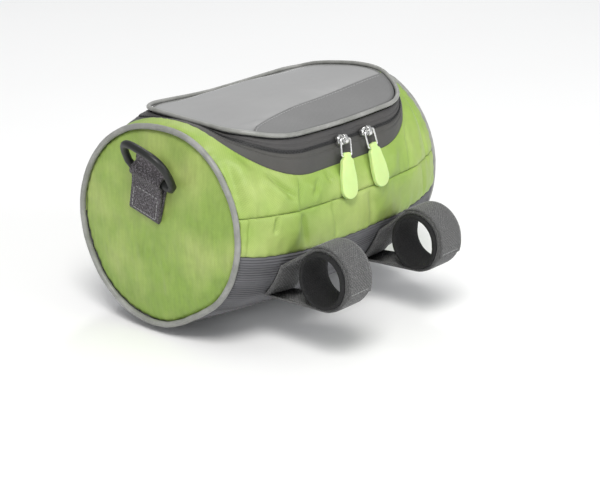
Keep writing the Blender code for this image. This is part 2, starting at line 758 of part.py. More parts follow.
def tab_profile():
    """Closed profile of the doubled webbing: distance out of the panel and height over the ring's bar."""
    ply = 2 * WEBBING_WALL + GAP
    low, high = TAB_BOTTOM - RING_BAR_HEIGHT, TAB_TOP - RING_BAR_HEIGHT
    bar_out = WEBBING_WALL + 2 * GAP + RING_BAR_DIAMETER / 2
    wrap = RING_BAR_DIAMETER / 2 + 2 * GAP + WEBBING_WALL
    points = [Vector((0, low + ply / 2)), Vector((0, high - ply / 2))]
    points += [Vector((ply * 0.3, high)), Vector((ply * 0.7, high)), Vector((ply, high - ply / 2))]
    for turn in (62, 30, 0, -30, -62):
        angle = math.radians(turn)
        points.append(Vector((bar_out + wrap * math.cos(angle), wrap * math.sin(angle))))
    points += [Vector((ply * 1.35, low * 0.55)), Vector((ply, low + ply / 2))]
    points += [Vector((ply * 0.7, low)), Vector((ply * 0.3, low))]
    return points, bar_out


def ring_path():
    """Closed D: the straight bar on the local X axis and a round bow above it."""
    half = RING_WIDTH / 2 - RING_BAR_DIAMETER / 2
    reach = RING_REACH - RING_BAR_DIAMETER
    straight = half - RING_BAR_DIAMETER / 2
    points = [Vector((straight * k / 3, 0, 0)) for k in range(-3, 4)]
    for k in range(RING_BOW_STEPS + 1):
        turn = math.pi * k / RING_BOW_STEPS
        round_x = math.copysign(abs(math.cos(turn)) ** RING_SQUARENESS, math.cos(turn))
        round_y = math.sin(turn) ** RING_SQUARENESS
        points.append(Vector((half * round_x, reach * (RING_ARM + (1 - RING_ARM) * round_y), 0)))
    return points


def build_end_tabs():
    """A webbing tab on each end panel, folded round the bar of a D-ring."""
    profile, bar_out = tab_profile()
    for label, side in LEFT_RIGHT:
        lean = Matrix.Rotation(math.radians(TAB_LEAN), 3, "X")
        out = Vector((side, 0, 0))
        up = lean @ Vector((0, 0, 1))
        across = lean @ Vector((0, 1, 0))
        seat = Vector((side * HALF_LENGTH, -TAB_OFFSET, RING_BAR_HEIGHT))
        rows = []
        for edge in (-0.5, 0.5):
            rows.append([seat + out * point.x + up * point.y + across * WEBBING_WIDTH * edge
                         for point in profile])
        cloth("tab_webbing_" + label, rows, WEBBING_WALL, STRAP_GREY, closed=True, flip=side < 0)
        pivot = seat + out * bar_out - across * RING_SHIFT
        tilt = Matrix.Rotation(math.radians(RING_LEAN * side), 3, across)
        ring_up = tilt @ up
        joint = joint_empty("ring_joint_" + label, frame_matrix(pivot, across, ring_up, across.cross(ring_up)))
        tube("d_ring_" + label, ring_path(), RING_BAR_DIAMETER, RING_BLACK, parent=joint)


def bar_point(x, radius, turn):
    """Point of a strap's face at an angle round the bar, sagging under it."""
    sag = STRAP_SLACK * max(0, -math.sin(turn))
    return Vector((x, -BAR_DISTANCE, -BAR_DROP)) + (radius + sag) * Vector((0, math.cos(turn), math.sin(turn)))


def bar_ring(radius, x):
    """Closed path round the bar."""
    return [bar_point(x, radius, math.radians(15 * k)) for k in range(24)]


def strap_loop(radius, x):
    """Closed path of a strap's outer face: sewn along the base panel, then tangent to a ring round the bar."""
    centre = Vector((x, -BAR_DISTANCE, -BAR_DROP))
    sewn = [skin(x, STRAP_ANCHOR_DOWN + (STRAP_ANCHOR_UP - STRAP_ANCHOR_DOWN) * k / STRAP_SEWN_STEPS, -3 * GAP)
            for k in range(STRAP_SEWN_STEPS + 1)]
    ends = []
    for anchor, sign in ((sewn[-1], 1), (sewn[0], -1)):
        reach = anchor - centre
        slack = STRAP_SLACK if sign < 0 else 0
        ends.append(math.atan2(reach.z, reach.y) + sign * math.acos((radius + slack) / reach.length))
    first, last = ends[0], ends[1] + 2 * math.pi
    turns = [first + (last - first) * k / STRAP_ARC_STEPS for k in range(STRAP_ARC_STEPS + 1)]
    return [bar_point(x, radius, turn) for turn in turns] + sewn


def build_straps():
    """Two strap loops for the bar: a hook layer next to the bar and a loop layer sewn to the bag."""
    inner_radius = BAR_DIAMETER / 2 + GAP + STRAP_WALL
    outer_radius = inner_radius + GAP + STRAP_WALL
    for label, side in LEFT_RIGHT:
        x = STRAP_MIDDLE + side * STRAP_SPACING / 2
        rows = []
        for edge in (-0.6, 0.5):
            rows.append(bar_ring(inner_radius, x + STRAP_WIDTH * edge))
        cloth("strap_inner_" + label, rows, STRAP_WALL, BLACK, closed=True)
        rows = []
        for edge in (-0.5, 0.5):
            rows.append(strap_loop(outer_radius, x + STRAP_WIDTH * edge))
        cloth("strap_outer_" + label, rows, STRAP_WALL, STRAP_GREY, closed=True)


build_body()
build_ends()
build_gusset()
build_lid()
build_pulls()
build_end_tabs()
build_straps()
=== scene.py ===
"""Looks of a barrel-shaped handlebar bag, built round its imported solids.

Units are metres. +X runs to the rider's right along the handlebar, +Y away from the rider, +Z up.
"""

# %% [markdown]
# # A sewn handlebar bag
# The real bag is a padded cloth barrel. A stiffened lid stands on a grey band called a gusset, and two
# straps hold the barrel to a handlebar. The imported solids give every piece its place, and this lesson
# dresses them. The solids could simply be smoothed, but cloth shows folds, seams and threads that such
# coarse meshes can't carry, so each sewn piece is made again here, finer, from the same sizes.

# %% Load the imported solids
import json
import math

import bmesh
import bpy
from mathutils import Matrix, Vector, noise


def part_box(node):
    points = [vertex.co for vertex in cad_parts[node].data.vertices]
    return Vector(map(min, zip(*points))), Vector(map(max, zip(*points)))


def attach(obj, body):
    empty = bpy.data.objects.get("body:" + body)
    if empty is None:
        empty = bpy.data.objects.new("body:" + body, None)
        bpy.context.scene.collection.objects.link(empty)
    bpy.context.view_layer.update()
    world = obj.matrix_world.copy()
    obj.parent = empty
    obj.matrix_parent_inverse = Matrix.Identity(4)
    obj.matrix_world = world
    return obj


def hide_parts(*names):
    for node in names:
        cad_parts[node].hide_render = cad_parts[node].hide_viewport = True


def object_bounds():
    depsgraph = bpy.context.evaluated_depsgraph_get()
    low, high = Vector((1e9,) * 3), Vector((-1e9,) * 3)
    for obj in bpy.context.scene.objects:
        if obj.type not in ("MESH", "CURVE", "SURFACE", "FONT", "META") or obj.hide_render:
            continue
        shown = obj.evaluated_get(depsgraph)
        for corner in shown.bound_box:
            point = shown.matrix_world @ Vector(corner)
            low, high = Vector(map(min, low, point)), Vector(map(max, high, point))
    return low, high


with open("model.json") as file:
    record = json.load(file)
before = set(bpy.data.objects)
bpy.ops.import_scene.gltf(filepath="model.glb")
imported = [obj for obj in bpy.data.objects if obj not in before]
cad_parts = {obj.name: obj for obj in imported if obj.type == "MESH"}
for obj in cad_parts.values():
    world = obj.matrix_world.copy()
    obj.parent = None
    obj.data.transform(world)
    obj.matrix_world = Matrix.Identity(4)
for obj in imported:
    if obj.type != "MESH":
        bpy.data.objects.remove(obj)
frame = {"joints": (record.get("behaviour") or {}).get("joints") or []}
cad_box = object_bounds()

# %% [markdown]
# ## Camera, floor and light
# The bag was photographed from the rider's left and a little above, with a long lens, which keeps the
# round end nearly undistorted. The camera could be aimed with a constraint, but a matrix built from its
# own right, up and backward directions needs no helper object. The lights are large and soft, as in a
# product studio: broad highlights on coated cloth and no hard shadow.

# %% Camera


def add(name, data):
    """Put an object with this data in the scene."""
    item = bpy.data.objects.new(name, data)
    bpy.context.scene.collection.objects.link(item)
    return item


LENS_MM = 108
SENSOR_MM = 36
CAMERA_AZIMUTH = math.radians(-50)
CAMERA_ELEVATION = math.radians(19.65)
CAMERA_PLACE = Vector((-0.9338, -0.7098, 0.4249))

right = Vector((math.cos(CAMERA_AZIMUTH), math.sin(CAMERA_AZIMUTH), 0))
level = Vector((math.sin(CAMERA_AZIMUTH), -math.cos(CAMERA_AZIMUTH), 0))
backward = level * math.cos(CAMERA_ELEVATION) + Vector((0, 0, math.sin(CAMERA_ELEVATION)))
upward = backward.cross(right)

lens = bpy.data.cameras.new("camera")
lens.lens = LENS_MM
lens.sensor_width = SENSOR_MM
lens.clip_end = 40
camera = add("camera", lens)
aim = Matrix((right, upward, backward)).transposed().to_4x4()
camera.matrix_world = Matrix.Translation(CAMERA_PLACE) @ aim
bpy.context.scene.camera = camera
bpy.context.scene.view_settings.view_transform = "Standard"
print("camera looks along", [round(-v, 3) for v in backward])

# %% Floor and soft lights
FLOOR_HALF = 12.0
FLOOR_GAP = 0.002
AMBIENT, BACKDROP = 0.54, 1.0
BAG_MIDDLE = Vector((0.014, 0.105, 0.020))


def soft_light(name, place, width, watts, tint):
    """Hang a square area light that faces the bag."""
    lamp = bpy.data.lights.new(name, "AREA")
    lamp.size = width
    lamp.energy = watts
    lamp.color = tint
    item = add(name, lamp)
    item.location = place
    item.rotation_euler = (BAG_MIDDLE - Vector(place)).to_track_quat("-Z", "Y").to_euler()


soft_light("key_light", (-1.05, -0.75, 1.7), 0.8, 33, (1.0, 0.99, 0.97))
soft_light("fill_light", (0.6, -2.0, 0.9), 1.2, 15, (0.97, 0.99, 1.0))
soft_light("rim_light", (1.2, 0.95, 1.85), 0.45, 9, (1.0, 1.0, 1.0))

sky = bpy.data.worlds.new("studio")
sky.use_nodes = True
tree = sky.node_tree
ambient, backdrop = tree.nodes["Background"], tree.nodes.new("ShaderNodeBackground")
ambient.inputs["Color"].default_value = (0.93, 0.94, 0.95, 1)
ambient.inputs["Strength"].default_value = AMBIENT
backdrop.inputs["Strength"].default_value = BACKDROP
seen, chosen = tree.nodes.new("ShaderNodeLightPath"), tree.nodes.new("ShaderNodeMixShader")
for output, socket in ((seen.outputs["Is Camera Ray"], chosen.inputs[0]),
                       (ambient.outputs[0], chosen.inputs[1]), (backdrop.outputs[0], chosen.inputs[2]),
                       (chosen.outputs[0], tree.nodes["World Output"].inputs["Surface"])):
    tree.links.new(output, socket)
bpy.context.scene.world = sky

floor_height = cad_box[0].z - FLOOR_GAP
floor_mesh = bpy.data.meshes.new("floor")
SQUARE = ((-1, -1), (1, -1), (1, 1), (-1, 1))
floor_corners = [(x * FLOOR_HALF, y * FLOOR_HALF, floor_height) for x, y in SQUARE]
floor_mesh.from_pydata(floor_corners, [], [(0, 1, 2, 3)])
floor = add("floor", floor_mesh)
print("floor at", round(floor_height, 4))

# %% [markdown]
# ## The barrel's form
# The barrel is round at its sewn ends and fuller in the middle, where the load pushes the cloth out. Such
# a form could be sculpted, but a table of radii round the end and a table of swelling give the same
# shape each time, and the values can be read. An angle is 0 at the top and grows towards the rider.

# %% Sizes of the barrel
BAG_ORIGIN = Vector((0.014, 0.1219, 0.019))
BAG_LENGTH = 0.225
HALF_LENGTH = BAG_LENGTH / 2
END_RADIUS = 0.076
RIDER_FULLNESS = 0.018
FULLNESS_POWER = 3.5
CLOTH_WALL = 0.0030
GAP = 0.0003
SEAM_GROOVE = 0.0002
PIPING_DIAMETER = 0.0048
PIPING_RADIUS = PIPING_DIAMETER / 2
PIPING_PROUD = 0.0018
UNDER_PIPING = 0.0010        # how far the cloth runs on under the piping
BODY_END = HALF_LENGTH - PIPING_DIAMETER - GAP + UNDER_PIPING
END_DOME = 0.0030
SEAM_ANGLE, SEAM_SAG = 74.0, 5.0
BASE_ANGLE, BASE_SAG = 94.0, 4.0
FRONT_BASE_ANGLE = -94.0
ARC = END_RADIUS * math.pi / 180        # cloth round the barrel for each degree
SIDES = (("left", -1), ("right", 1))

# radius of the end section, as a share of END_RADIUS, and swelling at mid-length, as a share of
# RIDER_FULLNESS, both every 30 degrees round the barrel from the top towards the rider
END_SECTION = (0.968, 1.030, 1.036, 1.012, 0.972, 0.925, 0.985, 1.022, 1.018, 1.008, 0.975, 0.962)
SWELLING = (0.45, 0.60, 0.92, 1.00, 0.72, 0.42, 0.30, 0.40, 0.55, 0.65, 0.55, 0.42)

DENTS = (
    # along, around, half_long, half_round, depth
    (-0.80, 0.46, 0.12, 0.10, 0.09),
    (-0.46, 0.47, 0.10, 0.05, 0.10),
    (-0.10, 0.42, 0.05, 0.05, 0.12),
    (0.40, 0.47, 0.09, 0.05, 0.11),
    (0.76, 0.40, 0.10, 0.07, 0.12),
    (0.30, -0.40, 0.22, 0.12, 0.14),
    (-0.45, -0.45, 0.20, 0.10, 0.12),
)


def eased(t):
    """Ease from 0 to 1."""
    t = min(max(t, 0), 1)
    return t * t * (3 - 2 * t)


def bell(distance, width):
    """1 at no distance, and falling off over a width."""
    return math.exp(-(distance / width) ** 2)


def heading(degrees):
    """Unit direction in a plane, turned from its first axis towards its second."""
    turn = math.radians(degrees)
    return Vector((math.cos(turn), math.sin(turn)))


def shares(count):
    """Evenly spaced shares from 0 to 1."""
    return [k / count for k in range(count + 1)]


def between(a, b, c, d, t):
    """Smooth value between b and c."""
    square, cube = 2 * a - 5 * b + 4 * c - d, 3 * b - a - 3 * c + d
    return 0.5 * (2 * b + (c - a) * t + square * t * t + cube * t ** 3)


def round_value(table, angle):
    """Value of an evenly spaced table that closes on itself after a turn."""
    step = 360 / len(table)
    at = (angle % 360) / step
    i = int(at)
    return between(*(table[(i + k) % len(table)] for k in (-1, 0, 1, 2)), at - i)


def swell(x):
    """How much of the mid-length swelling the barrel has at a place along it."""
    return 1 - min(abs(x) / HALF_LENGTH, 1) ** FULLNESS_POWER


def dents(x, angle):
    """Depth of the dents at a place on the barrel."""
    turn = (angle + 180) % 360 - 180
    total = 0
    for along, around, half_long, half_round, depth in DENTS:
        total += depth * bell(x / HALF_LENGTH - along, half_long) * bell(turn / 180 - around, half_round)
    return total * RIDER_FULLNESS * swell(x)


def skin_radius(x, angle):
    """Distance of the cloth's outer face from the barrel's axis."""
    fullness = RIDER_FULLNESS * round_value(SWELLING, angle) * swell(x)
    return END_RADIUS * round_value(END_SECTION, angle) - PIPING_PROUD + fullness - dents(x, angle)


def on_barrel(x, angle, radius):
    """Point at an angle and a distance from the barrel's axis."""
    turn = math.radians(angle)
    return BAG_ORIGIN + Vector((x, -radius * math.sin(turn), radius * math.cos(turn)))


def seam_angle(x):
    """Lengthwise seam on the rider's face."""
    return SEAM_ANGLE + SEAM_SAG * swell(x)


def base_angle(x):
    """Upper edge of the ribbed base on the rider's face."""
    return BASE_ANGLE + BASE_SAG * swell(x)


print("rider's face swells to", round(skin_radius(0, 90) * 1000, 1), "mm from the axis")

# %% [markdown]
# ## Sewing a grid into cloth
# Every sewn piece starts as rows of points on its outer face. A surface object could skin them, but a
# plain mesh keeps each point where it was put. The mesh gets a map in metres, so that a weave keeps its
# real size on every piece, and a Solidify modifier gives the cloth its thickness.

# %% Helpers for cloth meshes


def stretch(points):
    """Running length along a line of points."""
    run = [0.0]
    for a, b in zip(points, points[1:]):
        run.append(run[-1] + (b - a).length)
    return run


def sew(name, rows, closed=False, hub=None, plan=None, flip=False, wall=0.0):
    """Sew rows of points into a piece; plan turns a point into its place on the cloth's map."""
    count = len(rows[0])
    middle = rows[len(rows) // 2]
    along = stretch(middle + middle[:1])
    across = stretch([row[0] for row in rows])
    points = [point for row in rows for point in row]
    faces, places = [], []
    for r in range(len(rows) - 1):
        for c in range(count if closed else count - 1):
            d = (c + 1) % count
            faces.append([r * count + c, r * count + d, (r + 1) * count + d, (r + 1) * count + c])
            places.append([(along[c], across[r]), (along[c + 1], across[r]),
                           (along[c + 1], across[r + 1]), (along[c], across[r + 1])])
    if hub is not None:
        points.append(hub)
        last = (len(rows) - 1) * count
        for c in range(count):
            faces.append([last + c, last + (c + 1) % count, len(points) - 1])
            places.append([(0, 0)] * 3)
    if plan is not None:
        places = [[plan(points[i]) for i in face] for face in faces]
    if flip:
        faces = [face[::-1] for face in faces]
        places = [place[::-1] for place in places]
    mesh = bpy.data.meshes.new(name)
    mesh.from_pydata(points, [], faces)
    layer = mesh.uv_layers.new(name="cloth")
    layer.data.foreach_set("uv", [v for face in places for place in face for v in place])
    mesh.shade_smooth()
    item = add(name, mesh)
    if wall:
        shell = item.modifiers.new("wall", "SOLIDIFY")
        shell.thickness, shell.offset, shell.use_even_offset = wall, -1, False
    return item


def settle(item):
    """Turn a piece's modifiers into plain mesh."""
    ready = bpy.data.meshes.new_from_object(item.evaluated_get(bpy.context.evaluated_depsgraph_get()))
    item.modifiers.clear()
    item.data = ready
    return item


def cord_round(name, points, diameter, detail=4):
    """A closed round cord or wire through points."""
    curve = bpy.data.curves.new(name, "CURVE")
    curve.dimensions = "3D"
    curve.bevel_depth = diameter / 2
    curve.bevel_resolution = detail
    line = curve.splines.new("POLY")
    line.points.add(len(points) - 1)
    for target, point in zip(line.points, points):
        target.co = (*point, 1)
    line.use_cyclic_u = True
    return add(name, curve)


def wear(item, material, body="bag", nodes=()):
    """Give a piece its finish, say which body carries it, and hide the solids it stands for."""
    item.data.materials.clear()
    item.data.materials.append(material)
    if nodes:
        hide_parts(*nodes)
    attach(item, body)
    return item


print("helpers: sew, settle, cord_round, wear")

# %% [markdown]
# ## Effects that several finishes share
# Cloth, webbing and fuzzy strap all show threads, uneven dye and a little fluff. The ribbed base gets
# painted shade in its grooves, and the end cloth gets painted light, paler at the top and darker below.
# Each effect could be repeated in every material, but a node group keeps one recipe with named inputs,
# and each finish sets its own values. The groups give out only colours, masks and heights.

# %% Shader helpers
GREY = (0.5, 0.5, 0.5, 1)


def feed(tree, socket, value):
    """Give a socket a value, or join another node's output to it."""
    if isinstance(value, bpy.types.NodeSocket):
        tree.links.new(value, socket)
    else:
        socket.default_value = value


def put(tree, kind, **inputs):
    """Add a shader node and return its outputs; an input takes a value or another node's output."""
    made = tree.nodes.new("ShaderNode" + kind)
    for key, value in inputs.items():
        if hasattr(made, key) and key.islower():
            setattr(made, key, value)
        else:
            numbered = key[0] == "i" and key[1:].isdigit()
            feed(tree, made.inputs[int(key[1:]) if numbered else key.replace("_", " ")], value)
    return made.outputs


def maths(tree, operation, a, b=0.0):
    """A Math node's output; a tuple stands for a further Math node."""
    a, b = (maths(tree, *value) if isinstance(value, tuple) else value for value in (a, b))
    return put(tree, "Math", operation=operation, i0=a, i1=b)[0]


def effect(name, outputs, **inputs):
    """Start a node group; returns it, the values it is given and the sockets for its results."""
    tree = bpy.data.node_groups.new(name, "ShaderNodeTree")
    for label, value in inputs.items():
        kind = "Float" if isinstance(value, float) else "Color"
        socket = tree.interface.new_socket(label, in_out="INPUT", socket_type="NodeSocket" + kind)
        socket.default_value = value
    for label in outputs:
        kind = "Color" if label == "Colour" else "Float"
        tree.interface.new_socket(label, in_out="OUTPUT", socket_type="NodeSocket" + kind)
    return tree, tree.nodes.new("NodeGroupInput").outputs, tree.nodes.new("NodeGroupOutput").inputs


# %% Weave: crossing threads at a given number per metre
weave, given, result = effect("weave", ("Height", "Shade"), Threads=1500.0, Slubs=0.3)
cloth_map = put(weave, "UVMap", uv_map="cloth")[0]
split = put(weave, "SeparateXYZ", Vector=cloth_map)
turns = maths(weave, "MULTIPLY", given["Threads"], math.pi)
warp, weft = (maths(weave, "SINE", ("MULTIPLY", split[axis], turns)) for axis in (0, 1))
crossing = maths(weave, "MULTIPLY", warp, weft)
lumps = put(weave, "TexNoise", Vector=cloth_map, Scale=420.0, Detail=4.0)[0]
uneven = maths(weave, "MULTIPLY", ("SUBTRACT", lumps, 0.5), given["Slubs"])
height = maths(weave, "ADD", ("MULTIPLY", crossing, 0.5), uneven)
weave.links.new(height, result["Height"])
weave.links.new(maths(weave, "ADD", ("MULTIPLY", height, 0.5), 0.5), result["Shade"])
print("weave:", len(weave.nodes), "nodes")

# %% Ribs: mask of painted shade in the grooves between ribs, across the cloth's map
ribs, given, result = effect("ribs", ("GrooveShade",), Ribs=400.0, Sharpness=2.0)
split = put(ribs, "SeparateXYZ", Vector=put(ribs, "UVMap", uv_map="cloth")[0])
phase = maths(ribs, "MULTIPLY", split[1], ("MULTIPLY", given["Ribs"], math.pi))
rib = maths(ribs, "ABSOLUTE", ("SINE", phase))
ribs.links.new(maths(ribs, "POWER", ("SUBTRACT", 1.0, rib), given["Sharpness"]), result["GrooveShade"])
print("ribs:", len(ribs.nodes), "nodes")

# %% Mottle: dye that fades in wide patches, fine streaks down the cloth, and painted light with the height: paler towards the top, darker towards the bottom
PATCH_LOW, PATCH_HIGH = 0.38, 0.66
# height where the painted light neither pales nor darkens the cloth
PAINTED_LIGHT_LEVEL = 0.03
mottle, given, result = effect("mottle", ("Colour", "Mask"), Colour=GREY, Faded=GREY, Scale=60.0,
                               Spread=0.1, Streaks=0.0, Rise=0.0)
spot = put(mottle, "TexCoord")["Object"]
wide = maths(mottle, "MULTIPLY", given["Scale"], 0.3)
patch = put(mottle, "TexNoise", Vector=spot, Scale=wide, Detail=3.0)[0]
height = put(mottle, "SeparateXYZ", Vector=spot)["Z"]
# painted light: the colour pales above a set height and darkens below it, as light falls more on the top
painted_top_light = maths(mottle, "MULTIPLY", ("SUBTRACT", height, PAINTED_LIGHT_LEVEL), given["Rise"])
patched = put(mottle, "MapRange", Value=patch, i1=PATCH_LOW, i2=PATCH_HIGH)[0]
faded = put(mottle, "MixRGB", Fac=maths(mottle, "ADD", patched, painted_top_light),
            Color1=given["Colour"], Color2=given["Faded"])[0]
cloud = put(mottle, "TexNoise", Vector=spot, Scale=given["Scale"], Detail=5.0, Roughness=0.6)[0]
stretched = put(mottle, "Mapping", Vector=spot, Scale=(1, 1, 0.22))[0]
streak = put(mottle, "TexNoise", Vector=stretched, Scale=330.0, Detail=3.0)[0]
swing = maths(mottle, "MULTIPLY", ("SUBTRACT", cloud, 0.5), given["Spread"])
lined = maths(mottle, "MULTIPLY", ("SUBTRACT", streak, 0.5), given["Streaks"])
lift = maths(mottle, "ADD", ("MULTIPLY", ("ADD", swing, lined), 2.0), 1.0)
mottle.links.new(put(mottle, "HueSaturation", Value=lift, Color=faded)[0], result["Colour"])
mottle.links.new(cloud, result["Mask"])
print("mottle:", len(mottle.nodes), "nodes")

# %% Fluff: the speckle of brushed loops and woven yarn ends
FLECK_LOW, FLECK_HIGH = 0.48, 0.72
fluff, given, result = effect("fluff", ("Colour", "Height"), Base=GREY, Fleck=GREY, Scale=900.0, Amount=0.4)
spot = put(fluff, "TexCoord")["Object"]
speck = put(fluff, "TexNoise", Vector=spot, Scale=given["Scale"], Detail=3.0, Roughness=0.7)[0]
shown = put(fluff, "MapRange", Value=speck, i1=FLECK_LOW, i2=FLECK_HIGH)[0]
mixed = put(fluff, "MixRGB", Fac=maths(fluff, "MULTIPLY", shown, given["Amount"]),
            Color1=given["Base"], Color2=given["Fleck"])[0]
fluff.links.new(mixed, result["Colour"])
fluff.links.new(speck, result["Height"])
print("fluff:", len(fluff.nodes), "nodes")

# %% [markdown]
# ## Finishes
# Each finish is a Principled shader fed by the shared effects. Coated bag cloth is matt with a faint
# sheen at grazing angles; the vinyl window is smooth and mirrors the lights; the rubber pulls are soft
# and let a little light in. Painted image textures could do this too, but they blur up close.

# %% Finish helpers
PALER = 1.06             # how much brighter a plain finish gets where it is worn


def finish(name, **settings):
    """Start a material and return it with its node tree and its Principled shader."""
    material = bpy.data.materials.new(name)
    material.use_nodes = True
    shader = material.node_tree.nodes["Principled BSDF"]
    for key, value in settings.items():
        shader.inputs[key.replace("_", " ")].default_value = value
    return material, material.node_tree, shader


def raise_surface(tree, shader, height, depth, strength=0.5):
    """Feed a height into the shader's normal."""
    bump = put(tree, "Bump", Height=height, Distance=depth, Strength=strength)
    tree.links.new(bump[0], shader.inputs["Normal"])


def colour_from(tree, shader, first, second, share, blend="MULTIPLY"):
    """Mix two colours into the shader's base colour."""
    mixed = put(tree, "MixRGB", blend_type=blend, Fac=share, Color1=first, Color2=second)
    tree.links.new(mixed[0], shader.inputs["Base Color"])


def coated_cloth(name, colour, faded, threads, depth, spread, scale, streaks, rise, **settings):
    """Woven cloth with a matt coat."""
    material, tree, shader = finish(name, Sheen_Roughness=0.45, **settings)
    # rise sets painted light: the cloth pales towards the top and darkens towards the bottom
    dyed = put(tree, "Group", node_tree=mottle, Colour=(*colour, 1), Faded=(*faded, 1), Scale=scale,
               Spread=spread, Streaks=streaks, Rise=rise)
    woven = put(tree, "Group", node_tree=weave, Threads=threads, Slubs=0.5)
    colour_from(tree, shader, dyed["Colour"], woven["Shade"], 0.35)
    raise_surface(tree, shader, woven["Height"], depth)
    return material


def plain_finish(name, colour, spread, scale, **settings):
    """A moulded or plated finish with slightly uneven colour and gloss."""
    material, tree, shader = finish(name, **settings)
    paler = (*(v * PALER for v in colour), 1)
    toned = put(tree, "Group", node_tree=mottle, Colour=(*colour, 1), Faded=paler, Scale=scale, Spread=spread)
    tree.links.new(toned["Colour"], shader.inputs["Base Color"])
    raise_surface(tree, shader, toned["Mask"], 0.00004)
    return material


def yarn_finish(name, base, fleck, threads, depth, amount, scale, sheen):
    """Thick yarn with pale specks."""
    material, tree, shader = finish(name, Roughness=0.88, Sheen_Weight=sheen, Sheen_Roughness=0.4)
    specks = put(tree, "Group", node_tree=fluff, Base=(*base, 1), Fleck=(*fleck, 1), Scale=scale,
                 Amount=amount)
    woven = put(tree, "Group", node_tree=weave, Threads=threads, Slubs=0.8)
    colour_from(tree, shader, specks["Colour"], woven["Shade"], 0.6)
    raise_surface(tree, shader, maths(tree, "ADD", woven["Height"], specks["Height"]), depth, 0.8)
    return material


# %% Cloth finishes
CLOTHS = (
    # name, colour, faded and lit colour, threads, depth, spread, scale, streaks, rise of painted light,
    # sheen, roughness
    ("green_cloth", (0.312, 0.462, 0.084), (0.445, 0.558, 0.162), 1300, 0.00012, 0.14, 70, 0, 0, 0.05, 0.50),
    # the end cloth's colour is its painted shade at the bottom, its second colour the painted light at the
    # top
    ("end_cloth", (0.265, 0.405, 0.066), (0.440, 0.540, 0.155), 1300, 0.00012, 0.20, 70, 0.17, 5, 0.05, 0.50),
    ("gusset_cloth", (0.066, 0.065, 0.061), (0.082, 0.077, 0.070), 1500, 0.00012, 0.16, 70, 0, 0, 0.08, 0.60),
    ("lid_cloth", (0.188, 0.188, 0.188), (0.205, 0.205, 0.205), 1500, 0.00010, 0.05, 70, 0, 0, 0.05, 0.60),
    ("piping_cloth", (0.27, 0.275, 0.255), (0.36, 0.36, 0.345), 1100, 0.00016, 0.24, 260, 0, 0, 0.06, 0.45),
    ("upper_gusset_cloth", (0.058, 0.056, 0.057), (0.074, 0.070, 0.067), 1500, 0.00012, 0.16, 70, 0, 0,
     0.08, 0.60),
)
green_cloth, end_cloth, gusset_cloth, lid_cloth, piping_cloth, upper_gusset_cloth = [
    coated_cloth(*row[:-2], Sheen_Weight=row[-2], Roughness=row[-1]) for row in CLOTHS]
print("cloth finishes:", len(CLOTHS))

# %% Ribbed base
RIB_PITCH, RIB_DEPTH, RIB_SAMPLES = 0.0022, 0.0005, 4
ribbed_cloth, tree, shader = finish("ribbed_cloth", Roughness=0.75, Sheen_Weight=0.15, Sheen_Roughness=0.5)
painted_groove_shade = put(tree, "Group", node_tree=ribs, Ribs=1 / RIB_PITCH, Sharpness=1.4)
dyed = put(tree, "Group", node_tree=mottle, Colour=(0.100, 0.100, 0.110, 1), Faded=(0.128, 0.128, 0.138, 1),
           Scale=60, Spread=0.12)
# painted shade: the grooves between the ribs are mixed towards near black
colour_from(tree, shader, dyed["Colour"], (0.022, 0.022, 0.025, 1), painted_groove_shade["GrooveShade"], "MIX")
fine_threads = put(tree, "Group", node_tree=weave, Threads=1900, Slubs=0.6)
raise_surface(tree, shader, fine_threads["Height"], 0.00012)
print("ribs per metre:", round(1 / RIB_PITCH))

# %% Webbing and straps
YARNS = (
    # name, base, fleck, threads, depth, amount, scale, sheen
    ("webbing_yarn", (0.070, 0.062, 0.067), (0.48, 0.45, 0.50), 640, 0.0006, 0.7, 1000, 0.1),
    ("strap_loops", (0.092, 0.092, 0.092), (0.42, 0.42, 0.42), 900, 0.0005, 0.6, 1300, 0.25),
    ("strap_hooks", (0.010, 0.010, 0.011), (0.05, 0.05, 0.05), 900, 0.0004, 0.4, 900, 0.0),
)
webbing_yarn, strap_loops, strap_hooks = [yarn_finish(*row) for row in YARNS]
print("yarn finishes:", len(YARNS))

# %% Vinyl, rubber, metal and plastic
PLAINS = (
    # name, colour, spread, scale, roughness
    ("window_vinyl", (0.30, 0.30, 0.30), 0.04, 30, 0.18),
    ("ring_plastic", (0.006, 0.007, 0.006), 0.25, 300, 0.45),
    ("zip_coil", (0.022, 0.022, 0.023), 0.2, 900, 0.55),
    ("thread_grey", (0.30, 0.30, 0.30), 0.2, 900, 0.8),
    ("floor_paint", (0.93, 0.93, 0.93), 0.01, 2, 0.9),
)
window_vinyl, ring_plastic, zip_coil, thread_grey, floor_paint = [
    plain_finish(*row[:-1], Roughness=row[-1]) for row in PLAINS]
lime_rubber = plain_finish("lime_rubber", (0.55, 0.72, 0.27), 0.04, 160, Roughness=0.42,
                           Subsurface_Weight=0.25, Subsurface_Scale=0.002)
zip_metal = plain_finish("zip_metal", (0.74, 0.74, 0.73), 0.06, 400, Roughness=0.22, Metallic=1.0)
floor.data.materials.append(floor_paint)
print("hard finishes:", len(PLAINS) + 2)

# %% [markdown]
# ## Outlines of the opening and the lid
# The gusset joins two closed outlines: the opening in the barrel, and the lid's edge above it. Both are
# rounded rectangles with four corner sizes. Each could be drawn by hand, but as one function they
# keep the same count of points, so the gusset can run straight from one to the other.

